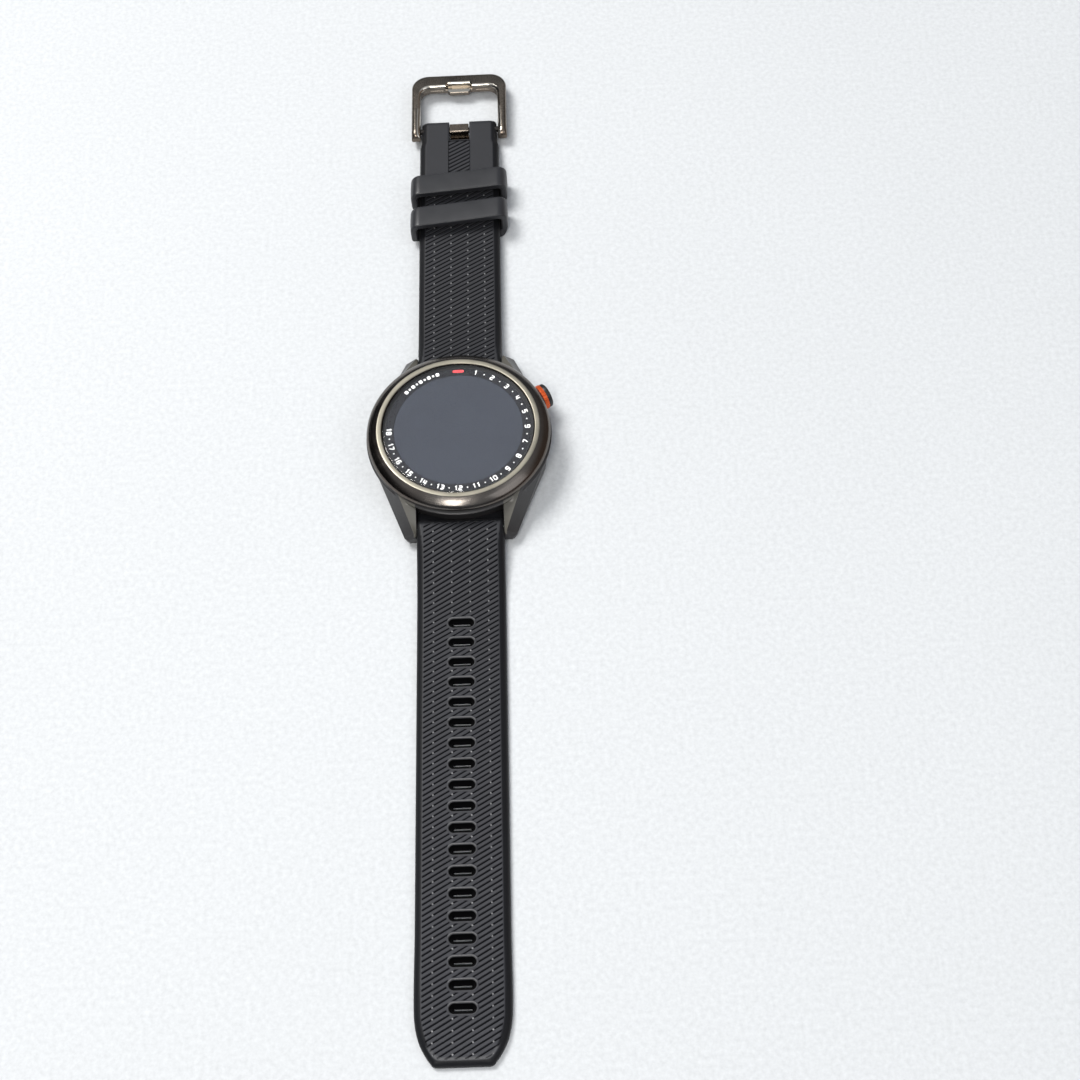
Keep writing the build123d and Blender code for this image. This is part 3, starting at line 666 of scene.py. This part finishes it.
    # spring bar bore, and the finger notch under it for the release pin
    bm = bmesh.new()
    bmesh.ops.create_cone(bm, segments=40, radius1=0.78 * MM, radius2=0.78 * MM, depth=24 * MM, cap_ends=True,
                          matrix=Matrix.Translation((0, sy * BAR_Y * MM, BAR_Z * MM)) @ Matrix.Rotation(math.pi / 2, 4, "Y"))
    me = bpy.data.meshes.new(name + "_bore")
    bm.to_mesh(me)
    bm.free()
    bore = bpy.data.objects.new(name + "_bore", me)
    bpy.context.scene.collection.objects.link(bore)
    bm = bmesh.new()
    bmesh.ops.create_cube(bm, size=1.0, matrix=Matrix.Translation((-5.75 * MM, sy * BAR_Y * MM, 1.55 * MM))
                          @ Matrix.Diagonal((2.7 * MM, 1.2 * MM, 3.3 * MM, 1)))
    me = bpy.data.meshes.new(name + "_notch")
    bm.to_mesh(me)
    bm.free()
    notch = bpy.data.objects.new(name + "_notch", me)
    bpy.context.scene.collection.objects.link(notch)
    for cutter in (bore, notch):
        mod = o.modifiers.new("cut", "BOOLEAN")
        mod.operation, mod.object, mod.solver = "DIFFERENCE", cutter, "EXACT"
    apply_modifiers(o)
    for cutter in (bore, notch):
        bpy.data.objects.remove(cutter)
    return o


HWI = 10.03
head = [
    (20.85, HWI, 2.75, 3.65, 0.4, 0.22), (21.25, HWI, 2.0, 4.4, 0.5, 0.35), (21.9, HWI, 1.5, 4.9, 0.6, 0.45),
    (22.7, HWI, 1.3, 5.1, 0.8, 0.6), (24.6, HWI, 1.17, 5.0, 1.0, 0.8), (25.5, HWI + 0.02, 1.13, 4.92, 1.2, 0.95),
    (26.1, 10.2, 1.08, 4.83, 1.4, 1.2),
]
long_keys = head + [
    (29.0, 10.2, 0.72, 4.35, 1.6, 1.45), (33.0, 10.2, 0.32, 3.55, 1.6, 1.45), (37.5, 10.2, 0.08, 2.85, 1.6, 1.4),
    (42.0, 10.2, 0.0, 2.45, 1.6, 1.4), (44.0, 10.2, 0.0, 2.4, 1.6, 1.4), (120.0, 10.2, 0.0, 2.4, 1.6, 1.4),
    (133.0, 10.32, 0.0, 2.4, 1.65, 1.4), (138.0, 10.25, 0.0, 2.4, 1.7, 1.4), (140.5, 10.0, 0.0, 2.4, 1.7, 1.4),
    (142.5, 9.6, 0.0, 2.4, 1.7, 1.4), (144.4, 8.98, 0.0, 2.4, 1.7, 1.4), (146.1, 8.15, 0.0, 2.4, 1.7, 1.4),
    (147.4, 7.35, 0.0, 2.38, 1.7, 1.38), (148.2, 6.75, 0.0, 2.36, 1.7, 1.36), (LONG_TIP - 0.2, 6.3, 0.05, 2.34, 1.7, 1.34),
    (LONG_TIP, 5.7, 0.2, 2.3, 1.7, 1.3),
]
GROOVE_Y_LONG = -SLOT_FIRST + 0.3125
long_strap = strap("strap_long_silicone", -1, long_keys, GROOVE_Y_LONG, 20.85, LONG_TIP, True, tip=True, phase_u=SLOT_FIRST)

top = SHORT_Z + 2.4
short_keys = head + [
    (29.0, 10.2, 1.3, 4.55, 1.6, 1.45), (33.0, 10.2, 1.6, 4.25, 1.6, 1.42), (37.0, 10.2, SHORT_Z, top, 1.6, 1.4),
    (92.0, 10.2, SHORT_Z, top, 1.6, 1.4), (94.0, 9.75, SHORT_Z, top, 1.5, 1.3), (98.8, 9.75, SHORT_Z, top, 1.5, 1.3),
    (99.5, 9.72, SHORT_Z + 0.1, top - 0.08, 1.5, 1.2), (100.0, 9.6, SHORT_Z + 0.35, top - 0.3, 1.4, 1.0),
    (SHORT_END, 9.4, SHORT_Z + 0.75, top - 0.7, 1.2, 0.6),
]
GROOVE_Y_SHORT = 47.2 + 0.3125
short_strap = strap("strap_short_silicone", 1, short_keys, GROOVE_Y_SHORT, 20.85, SHORT_END, False,
                    channel=2.625, hub_from=93.76, grooved_to=82.0, phase_u=47.2)
for o, body, cad, base_y in ((long_strap, "long_strap", "strap_long", GROOVE_Y_LONG),
                             (short_strap, "short_strap", "strap_short", GROOVE_Y_SHORT)):
    o.data.materials.clear()
    # painted light tones: the long strap is lightened towards its tip, the short strap darkened as shade
    o.data.materials.append(strap_material(o.name + "_surface", base_y, (0.95, 1.45) if body == "long_strap" else (0.84, 0.84)))
    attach(o, body)
    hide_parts(cad)


# --------------------------------------------------------------------- keepers
def keeper(name, cad, body, skew):
    lo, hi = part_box(cad)
    yc = (lo.y + hi.y) / 2 / MM
    w, h, length, t, rc = 24.6, 8.0, 6.2, 1.55, 2.6
    path = []
    cx, cz = w / 2 - rc, h / 2 - rc
    for sx, sz, a0 in ((1, 1, 0), (-1, 1, 90), (-1, -1, 180), (1, -1, 270)):
        for k in range(15):
            a = math.radians(a0 + 90 * k / 14)
            path.append((sx * cx + rc * math.cos(a), h / 2 + sz * cz + rc * math.sin(a), math.cos(a), math.sin(a)))
    # add points along the straight runs, so that the loop can bow slightly
    dense = []
    for i in range(len(path)):
        p, q = path[i], path[(i + 1) % len(path)]
        dense.append(p)
        gap = math.hypot(q[0] - p[0], q[1] - p[1])
        if gap > 1.2:
            m = int(gap / 0.8)
            for k in range(1, m):
                s = k / m
                dense.append(tuple(p[c] * (1 - s) + q[c] * s for c in range(4)))
    half = length / 2
    sec = [(0, -half), (0, half), (-t, half), (-t, -half)]
    sec = round_profile(sec, [0.55, 0.55, 0.4, 0.4], 6)
    mid_steps = []
    for i in range(len(sec)):
        p, q = sec[i], sec[(i + 1) % len(sec)]
        mid_steps.append(p)
        gap = math.hypot(q[0] - p[0], q[1] - p[1])
        if gap > 1.5:
            for k in range(1, 6):
                mid_steps.append((p[0] + (q[0] - p[0]) * k / 6, p[1] + (q[1] - p[1]) * k / 6))
    sec = mid_steps
    verts, faces = [], []
    m = len(sec)
    for x, z, nx, nz in dense:
        for rho, eta in sec:
            # the strap's own wall is slightly crowned across its length
            crown = 0.10 * (1 - (eta / half) ** 2) if rho > -0.4 else 0.0
            px, pz = x + nx * (rho - 0.1 + crown), z + nz * (rho - 0.1 + crown)
            if z > h / 2:
                pz -= 0.18 * (1 - (x / (w / 2)) ** 2) * (1 if abs(x) < cx + rc else 0) - 0.0
            y = yc + eta + px * math.tan(math.radians(skew)) * ease(0.0, 2.0, pz)
            verts.append((px, y, max(pz, 0.02)))
    n = len(dense)
    for i in range(n):
        for j in range(m):
            a, b = i * m + j, i * m + (j + 1) % m
            c, d = ((i + 1) % n) * m + (j + 1) % m, ((i + 1) % n) * m + j
            faces.append((a, b, c, d))
    o = make_object(name, verts, faces, 60.0)
    o.data.materials.append(MATS["strap_silicone"])
    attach(o, body)
    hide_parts(cad)
    return o


keeper("keeper_near_loop", "keeper_near", "keeper_near", 6.4)
keeper("keeper_far_loop", "keeper_far", "keeper_far", 5.2)


# ---------------------------------------------------------------------- buckle
def buckle():
    lo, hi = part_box("buckle_frame")
    near, far, half = lo.y / MM, hi.y / MM, (hi.x - lo.x) / 2 / MM
    bar, arm, ri, ro, shelf_z = 111.5, 10.1, 2.7, 4.4, 3.5

    def zt(y):
        return float(np.interp(y, [95.2, 95.5, 95.9, 96.4, 97.0, 99.5, 104.0, 111.5, 115.0, 116.0],
                               [3.5, 4.02, 4.35, 4.58, 4.7, 4.85, 4.95, 4.9, 4.66, 4.55]))

    def zb(y):
        return float(np.interp(y, [95.2, 95.35, 95.6, 96.0, 96.6, 98.2, 103.0, 107.5, 110.5, 114.6, 116.0],
                               [2.5, 2.05, 1.8, 1.55, 1.35, 1.25, 1.45, 1.75, 1.95, 2.1, 2.2]))
    stations = []
    ys = [near, near + 0.12, near + 0.3, near + 0.6, near + 1.0] + list(np.linspace(near + 1.6, bar - ri, 26))
    yo = np.interp(ys, [near, bar - ri], [near, far - ro])
    left = [((-half, b), (-arm, a)) for a, b in zip(ys, yo)]
    for k in range(1, 15):
        a = math.pi - math.pi / 2 * k / 14
        left.append(((-half + ro + ro * math.cos(a), far - ro + ro * math.sin(a)),
                     (-arm + ri + ri * math.cos(a), bar - ri + ri * math.sin(a))))
    xi = sorted(set([round(float(v), 3) for v in np.linspace(-arm + ri, 0, 14)[1:]]
                    + [-3.62, -3.5, -3.4, -3.0, -2.9, -2.86, -2.8, -2.7, -2.4, -2.3]))
    sc = (half - ro) / (arm - ri)
    for x in xi:
        left.append(((x * sc, far), (x, bar)))
    stations = left + [((-o_[0], o_[1]), (-i_[0], i_[1])) for o_, i_ in left[:-1][::-1]]
    verts, faces, polish = [], [], []
    for (ox, oy), (ix, iy) in stations:
        O, I = np.array((ox, oy)), np.array((ix, iy))
        n = (I - O) / np.linalg.norm(I - O)
        x = abs(ix)
        on_bar = iy > bar - 1e-6
        deep = 0.95 * float(np.clip((3.5 - x) / 0.65, 0, 1)) if on_bar else 0.0
        In = I - n * deep
        thick = zt(oy) - zb(oy)
        rt = min(1.05, 0.42 * thick)
        ch = min(0.85, 0.24 * thick)
        pts = [(O + n * 0.40, zb(oy)), (O + n * 0.12, zb(oy) + 0.13), (O, zb(oy) + 0.42)]
        for k in range(0, 6):
            f = math.pi / 2 * k / 5
            pts.append((O + n * rt * (1 - math.cos(f)), zt(oy) - rt + rt * math.sin(f)))
        top_i = In - n * (ch + 0.05)
        pts.append((top_i, zt(iy)))
        pts.append((In - n * ch * 0.62, zt(iy) - ch * 0.22))
        pts.append((In - n * ch * 0.22, zt(iy) - ch * 0.58))
        pts.append((In, zt(iy) - ch))
        low = zb(iy) + 0.3
        shelf = on_bar and x <= 2.9
        lev = shelf_z if (on_bar and x <= 3.62) else 0.5 * (zt(iy) - ch + low)
        lev = min(lev, zt(iy) - ch - 0.05)
        Is = I
        if shelf:
            Is = np.array((ix, 110.5 + 0.5 * float(np.clip((x - 2.4) / 0.5, 0, 1))))
        pts.append((In, lev))
        pts.append((Is - n * 0.12, lev))
        pts.append((Is, lev - 0.1))
        pts.append((Is, 2.35 if shelf else low))
        pts.append((Is - n * 0.3, 2.25 if shelf else zb(iy)))
        pts.append((I - n * 0.9, zb(iy)))
        base = len(verts)
        for q, z in pts:
            verts.append((q[0], q[1], z))
    m = len(pts)
    for i in range(len(stations) - 1):
        for j in range(m):
            a, b = i * m + j, i * m + (j + 1) % m
            faces.append((a, b, b + m, a + m))
            ledge = j == 13 and min(stations[i][1][1], stations[i + 1][1][1]) > bar - 1e-6 and \
                max(abs(stations[i][1][0]), abs(stations[i + 1][1][0])) <= 2.9
            polish.append(1 if 9 <= j <= 11 or ledge else 0)
    faces.append(tuple(range(m)))
    faces.append(tuple(range((len(stations) - 1) * m, len(stations) * m))[::-1])
    polish += [0, 0]
    o = make_object("buckle_frame_metal", verts, faces, 30.0)
    o.data.materials.append(MATS["buckle_metal"])
    o.data.materials.append(MATS["polished_edge"])
    for f, k in zip(o.data.polygons, polish):
        f.material_index = k
    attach(o, "buckle")
    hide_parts("buckle_frame")


buckle()


# ------------------------------------------------------------- bezel, lens, dial
bez = [
    (17.0, 8.8), (21.2, 8.8), (21.58, 9.06), (21.7, 9.32), (21.7, 9.55), (21.32, 10.25), (20.32, 11.0),
    (19.35, 11.50), (19.1, 11.6), (18.15, 11.6), (17.95, 11.42), (17.95, 9.9), (17.0, 9.9),
]
bez = round_profile(bez, [0, 0.1, 0.14, 0.1, 0.12, 0.5, 0.5, 0.22, 0.16, 0.12, 0.08, 0.05, 0.05], 4)
o = lathe("bezel_ring", bez, 360, 40.0)
o.data.materials.append(MATS["bezel_metal"])
o.data.materials.append(MATS["bezel_face"])
for f in o.data.polygons:
    c = f.center / MM
    if c.z > 11.53 and math.hypot(c.x, c.y) < 19.2:
        f.material_index = 1
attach(o, "case"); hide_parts("bezel")

o = lathe("lens_crystal", [(0, 10.2), (9.0, 10.2), (17.85, 10.2), (17.85, 11.1), (17.82, 11.19), (17.74, 11.26),
                           (17.6, 11.3), (9.0, 11.3), (0, 11.3)], 300, 30.0)
o.data.materials.append(MATS["lens_glass"])
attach(o, "case"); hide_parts("lens")

o = lathe("dial_print_ring", round_profile([(15.2, 10.05), (17.1, 10.05), (17.1, 10.10), (15.25, 10.10)],
                                           [0, 0, 0.02, 0.02], 2), 300, 30.0)
o.data.materials.append(MATS["black_print"])
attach(o, "case"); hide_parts("dial_ring")

C = 0.15
GLYPH = {
    "0": [([(-.37 + C, .545), (.37 - C, .545), (.37, .545 - C), (.37, -.545 + C), (.37 - C, -.545), (-.37 + C, -.545),
            (-.37, -.545 + C), (-.37, .545 - C)], True)],
    "1": [([(-.22, .33), (.06, .545), (.06, -.545)], False)],
    "2": [([(-.37, .545), (.37 - C, .545), (.37, .545 - C), (.37, C), (.37 - C, 0), (-.37 + C, 0), (-.37, -C),
            (-.37, -.545), (.37, -.545)], False)],
    "3": [([(-.37, .545), (.37 - C, .545), (.37, .545 - C), (.37, -.545 + C), (.37 - C, -.545), (-.37, -.545)], False),
          ([(-.2, 0), (.37, 0)], False)],
    "4": [([(-.37, .545), (-.37, -.17), (.42, -.17)], False), ([(.2, .545), (.2, -.545)], False)],
    "5": [([(.37, .545), (-.37, .545), (-.37, .04), (.37 - C, .04), (.37, .04 - C), (.37, -.545 + C), (.37 - C, -.545),
            (-.37, -.545)], False)],
    "6": [([(.37, .545), (-.37 + C, .545), (-.37, .545 - C), (-.37, -.545 + C), (-.37 + C, -.545), (.37 - C, -.545),
            (.37, -.545 + C), (.37, .04 - C), (.37 - C, .04), (-.37, .04)], False)],
    "7": [([(-.37, .545), (.37, .545), (.37, .33), (-.06, -.545)], False)],
    "8": [([(-.37 + C, .545), (.37 - C, .545), (.37, .545 - C), (.37, -.545 + C), (.37 - C, -.545), (-.37 + C, -.545),
            (-.37, -.545 + C), (-.37, .545 - C)], True), ([(-.37, 0), (.37, 0)], False)],
    "9": [([(.37, -.04), (-.37 + C, -.04), (-.37, -.04 + C), (-.37, .545 - C), (-.37 + C, .545), (.37 - C, .545),
            (.37, .545 - C), (.37, -.545 + C), (.37 - C, -.545), (-.37, -.545)], False)],
}


class Print:
    """Thin raised strokes and dots, gathered into one mesh."""

    def __init__(self):
        self.verts, self.faces = [], []

    def prism(self, ring, z0, z1):
        n, b = len(ring), len(self.verts)
        self.verts += [(x, y, z0) for x, y in ring] + [(x, y, z1) for x, y in ring]
        self.faces.append(tuple(b + i for i in range(n))[::-1])
        self.faces.append(tuple(b + n + i for i in range(n)))
        for i in range(n):
            j = (i + 1) % n
            self.faces.append((b + i, b + j, b + n + j, b + n + i))

    def stroke(self, pts, closed, width, place, z0, z1):
        pts = [np.array(p, float) for p in pts]
        n = len(pts)
        L, R = [], []
        for i in range(n):
            prev = pts[i - 1] if (i > 0 or closed) else None
            nxt = pts[(i + 1) % n] if (i < n - 1 or closed) else None
            dirs = []
            if prev is not None:
                d = pts[i] - prev
                dirs.append(d / np.linalg.norm(d))
            if nxt is not None:
                d = nxt - pts[i]
                dirs.append(d / np.linalg.norm(d))
            norms = [np.array((-d[1], d[0])) for d in dirs]
            m = sum(norms)
            m /= np.linalg.norm(m)
            k = width / 2 / max(0.5, float(m @ norms[0]))
            L.append(place(pts[i] + m * k))
            R.append(place(pts[i] - m * k))
        b = len(self.verts)
        for i in range(n):
            self.verts += [(*L[i], z0), (*R[i], z0), (*L[i], z1), (*R[i], z1)]
        for i in range(n if closed else n - 1):
            p, q = b + 4 * i, b + 4 * ((i + 1) % n)
            self.faces += [(p + 2, p + 3, q + 3, q + 2), (p, q, q + 1, p + 1), (p, p + 2, q + 2, q), (p + 1, q + 1, q + 3, p + 3)]
        if not closed:
            e = b + 4 * (n - 1)
            self.faces += [(b, b + 1, b + 3, b + 2), (e, e + 2, e + 3, e + 1)]

    def finish(self, name, mat):
        o = make_object(name, self.verts, self.faces, 20.0)
        o.data.materials.append(mat)
        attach(o, "case")
        return o


numerals = Print()
for n in range(1, 19):
    a = math.radians(15.0 * n)
    out = np.array((math.sin(a), math.cos(a)))
    centre = out * 16.32
    up = out if n <= 5 else -out
    right = np.array((up[1], -up[0]))
    text = str(n)
    for i, ch in enumerate(text):
        off = (i - (len(text) - 1) / 2) * 1.02
        for si, (pts, closed) in enumerate(GLYPH[ch]):
            numerals.stroke(pts, closed, 0.27, lambda p, off=off: centre + right * (p[0] * 0.92 + off) + up * p[1] * 0.98,
                            10.095, 10.125 + 0.004 * si)
numerals.finish("dial_numerals", MATS["white_film"])

dots = Print()
for n in range(1, 18):
    a = math.radians(15.0 * (n + 0.5))
    c = (16.32 * math.sin(a), 16.32 * math.cos(a))
    dots.prism([(c[0] + 0.17 * math.cos(t), c[1] + 0.17 * math.sin(t)) for t in np.linspace(0, 2 * math.pi, 14)[:-1]], 10.095, 10.122)
for k in range(9):
    a = math.radians(311.5 + 31.0 * k / 8)
    out = np.array((math.sin(a), math.cos(a)))
    tan = np.array((out[1], -out[0]))
    wide = 0.42 if k % 2 == 0 else 0.24
    tall = 0.46 if k % 2 == 0 else 0.28
    c = out * 16.35
    ring = []
    for q in range(20):
        t = 2 * math.pi * q / 20
        ex, ey = math.copysign(abs(math.cos(t)) ** 0.5, math.cos(t)), math.copysign(abs(math.sin(t)) ** 0.5, math.sin(t))
        ring.append(tuple(c + tan * ex * wide + out * ey * tall))
    dots.prism(ring, 10.095, 10.122)
dots.finish("dial_dots_and_ticks", MATS["white_film"])

red = Print()
ring = []
for q in range(32):
    t = 2 * math.pi * q / 32
    ex = math.copysign(abs(math.cos(t)) ** 0.55, math.cos(t))
    ey = math.copysign(abs(math.sin(t)) ** 0.55, math.sin(t))
    ring.append((0.05 + 1.35 * ex, 16.35 + 0.42 * ey))
red.prism(ring, 10.095, 10.128)
red_mat = material("red_print", srgb(198, 34, 40), 0.45, grain=9000.0, bump=0.08, var=0.08)
red.finish("dial_red_mark", red_mat)

# ------------------------------------------------------- carried-over CAD nodes
slot_of = {}
for m in frame["record"].get("materials", []):
    slot_of[m.get("slot")] = m
node_slots = {}
for g in frame["record"].get("nodes", []) if isinstance(frame["record"].get("nodes"), list) else []:
    if isinstance(g, dict):
        node_slots[g.get("name")] = g.get("material_slot") or g.get("slot")



def position_mask(m, colour, rough, build):
    """Mix another colour and roughness into a material where build() says so."""
    nt = m.node_tree
    p = [n for n in nt.nodes if n.type == "BSDF_PRINCIPLED"][0]
    tc = [n for n in nt.nodes if n.type == "TEX_COORD"][0]
    sx = node(nt, "ShaderNodeSeparateXYZ")
    nt.links.new(tc.outputs["Object"], sx.inputs[0])
    mask = build(nt, sx.outputs[0], sx.outputs[1], sx.outputs[2])
    was = p.inputs["Base Color"].links[0].from_socket
    nt.links.new(mix_colour(nt, mask, was, colour), p.inputs["Base Color"])
    r = p.inputs["Roughness"].links[0].from_socket
    a = math_node(nt, "MULTIPLY", r, math_node(nt, "SUBTRACT", 1.0, mask))
    nt.links.new(math_node(nt, "MULTIPLY_ADD", mask, rough, a), p.inputs["Roughness"])


def lug_facet(nt, x, y, z):
    ax, ay = math_node(nt, "ABSOLUTE", x), math_node(nt, "ABSOLUTE", y)
    ridge = map_range(nt, ay, 0.006, 0.0246, 0.0183, 0.01075)
    below = math_node(nt, "LESS_THAN", ax, math_node(nt, "ADD", ridge, 0.00006))
    beyond = math_node(nt, "GREATER_THAN", ax, 0.01026)
    radius = math_node(nt, "SQRT", math_node(nt, "ADD", math_node(nt, "MULTIPLY", x, x), math_node(nt, "MULTIPLY", y, y)))
    outside = math_node(nt, "GREATER_THAN", radius, 0.0214)
    # the facet lies between these heights; the wall beneath it is left dark
    floor_z = map_range(nt, ay, 0.006, 0.0246, 0.0130, 0.0038)
    above = math_node(nt, "GREATER_THAN", z, floor_z)
    return math_node(nt, "MULTIPLY", math_node(nt, "MULTIPLY", below, beyond), math_node(nt, "MULTIPLY", outside, above))


def button_base(nt, x, y, z):
    s = math_node(nt, "ADD", math_node(nt, "MULTIPLY", x, math.cos(math.radians(30))), math_node(nt, "MULTIPLY", y, 0.5))
    return math_node(nt, "LESS_THAN", s, 0.02225)


# painted light: the lug facets are lightened where the light catches them
position_mask(MATS["case_polymer"], srgb(94, 92, 86), 0.32, lug_facet)
position_mask(MATS["copper_accent"], srgb(24, 23, 24), 0.40, button_base)

PAINT = {
    "mid_case": "case_polymer", "bezel": "bezel_metal", "lens": "lens_glass", "lens_gasket": "gasket_rubber",
    "dial_ring": "black_print", "display_module": "display_glass", "display_backlight": "white_film",
    "display_carrier": "inner_plastic", "gnss_antenna": "antenna_metal", "main_board": "circuit_board",
    "gnss_shield_can": "shield_steel", "radio_shield_can": "shield_steel", "processor_chip": "chip_black",
    "display_connector": "inner_plastic", "battery": "battery_foil", "battery_pad": "foam",
    "vibration_motor_can": "shield_steel", "vibration_motor_weight": "tungsten", "rear_cover": "rear_polymer",
    "rear_cover_gasket": "gasket_rubber", "rear_cover_screws": "screw_steel", "contact_block": "inner_plastic",
    "charging_contacts": "gold_contact", "button_bushing": "inner_plastic", "button_switch": "inner_plastic",
    "button_flex": "flex_film", "button_spring": "stem_steel", "button_cap": "button_black",
    "button_accent_ring": "copper_accent", "button_stem": "stem_steel", "button_o_ring": "gasket_rubber",
    "button_retaining_clip": "stem_steel", "strap_long": "strap_silicone", "strap_short": "strap_silicone",
    "lower_spring_bar_tube": "stem_steel", "lower_spring_bar_tip": "stem_steel", "lower_spring_bar_coil": "stem_steel",
    "upper_spring_bar_tube": "stem_steel", "upper_spring_bar_tip": "stem_steel", "upper_spring_bar_coil": "stem_steel",
    "lower_release_plunger": "stem_steel", "upper_release_plunger": "stem_steel", "keeper_near": "strap_silicone",
    "keeper_far": "strap_silicone", "buckle_frame": "buckle_metal", "buckle_pin": "dark_pin",
    "buckle_tongue": "buckle_metal",
}
for name, o in NODES.items():
    m = MATS[PAINT[name]]
    if not o.material_slots:
        o.data.materials.append(m)
    for s in o.material_slots:
        s.material = m

for name, width in (("mid_case", 0.16), ("buckle_tongue", 0.14), ("button_cap", 0.08), ("button_accent_ring", 0.05)):
    o = NODES[name]
    w = o.modifiers.new("join", "WELD")
    w.merge_threshold = 0.000004
    bv = o.modifiers.new("edge", "BEVEL")
    bv.width = width * MM
    bv.segments = 2
    bv.limit_method = "ANGLE"
    bv.angle_limit = math.radians(32)
    bv.use_clamp_overlap = True
    bv.harden_normals = False
    wn_ = o.modifiers.new("weighted", "WEIGHTED_NORMAL")
    wn_.weight = 70

# ------------------------------------------------------- floor, light and camera
floor_mat = material("floor_paint", srgb(214, 217, 220), 0.75, var=0.02, blotch=6.0, grain=900.0, bump=0.06, depth=0.0001)
bm = bmesh.new()
bmesh.ops.create_grid(bm, x_segments=8, y_segments=8, size=3.0)
me = bpy.data.meshes.new("floor")
bm.to_mesh(me)
bm.free()
me.materials.append(floor_mat)
floor = bpy.data.objects.new("floor", me)
bpy.context.scene.collection.objects.link(floor)
floor.location = (0, 0, -0.00003)

world = bpy.data.worlds.new("studio")
bpy.context.scene.world = world
world.use_nodes = True
wn = world.node_tree
bg = wn.nodes["Background"]
wtc = node(wn, "ShaderNodeTexCoord")
wsx = node(wn, "ShaderNodeSeparateXYZ")
wn.links.new(wtc.outputs["Generated"], wsx.inputs[0])
up = map_range(wn, wsx.outputs[2], 0.15, 0.85, 0.0, 1.0)
sky = mix_colour(wn, up, (0.16, 0.17, 0.19), (0.86, 0.90, 0.95))
left = math_node(wn, "MULTIPLY", map_range(wn, wsx.outputs[0], -0.35, -0.75, 0.0, 1.0), map_range(wn, wsx.outputs[2], 0.75, 0.55, 0.0, 1.0))
sky = mix_colour(wn, left, sky, (0.02, 0.02, 0.025))
right = math_node(wn, "MULTIPLY", map_range(wn, wsx.outputs[0], 0.45, 0.85, 0.0, 1.0), map_range(wn, wsx.outputs[2], 0.75, 0.5, 0.0, 1.0))
sky = mix_colour(wn, right, sky, (0.30, 0.23, 0.19))
wn.links.new(sky, bg.inputs[0])
bg.inputs[1].default_value = 0.62


def area(name, loc, target, size, energy, colour=(1, 1, 1), size_y=None):
    d = bpy.data.lights.new(name, "AREA")
    d.shape = "RECTANGLE"
    d.size = size
    d.size_y = size_y or size
    d.energy = energy
    d.color = colour
    o = bpy.data.objects.new(name, d)
    bpy.context.scene.collection.objects.link(o)
    o.location = loc
    o.rotation_mode = "QUATERNION"
    o.rotation_quaternion = (Vector(target) - Vector(loc)).to_track_quat("-Z", "Y")
    return o


area("key_light", (-0.50, 0.42, 1.05), (0, 0, 0), 0.50, 13.2, (1.0, 0.985, 0.96))
area("front_strip", (-0.13, -0.62, 0.86), (0, 0, 0), 0.25, 4.2, (1.0, 0.97, 0.92), 0.36)
area("fill_light", (0.8, -0.5, 0.9), (0, 0, 0), 0.7, 2.0, (0.93, 0.96, 1.0))

cam_data = bpy.data.cameras.new("camera")
cam_data.lens = 71.68
cam_data.sensor_width = 36.0
cam_data.clip_start, cam_data.clip_end = 0.01, 20.0
cam = bpy.data.objects.new("camera", cam_data)
bpy.context.scene.collection.objects.link(cam)
r = Vector((0.99894, -0.02162, -0.04063))
u = Vector((0.03912, 0.86378, 0.50236))
b = r.cross(u).normalized()
u = b.cross(r).normalized()
r.normalize()
cam.matrix_world = Matrix(((r.x, u.x, b.x, 0.03043), (r.y, u.y, b.y, -0.2773), (r.z, u.z, b.z, 0.4330), (0, 0, 0, 1)))
bpy.context.scene.camera = cam
bpy.context.scene.view_settings.view_transform = "Standard"
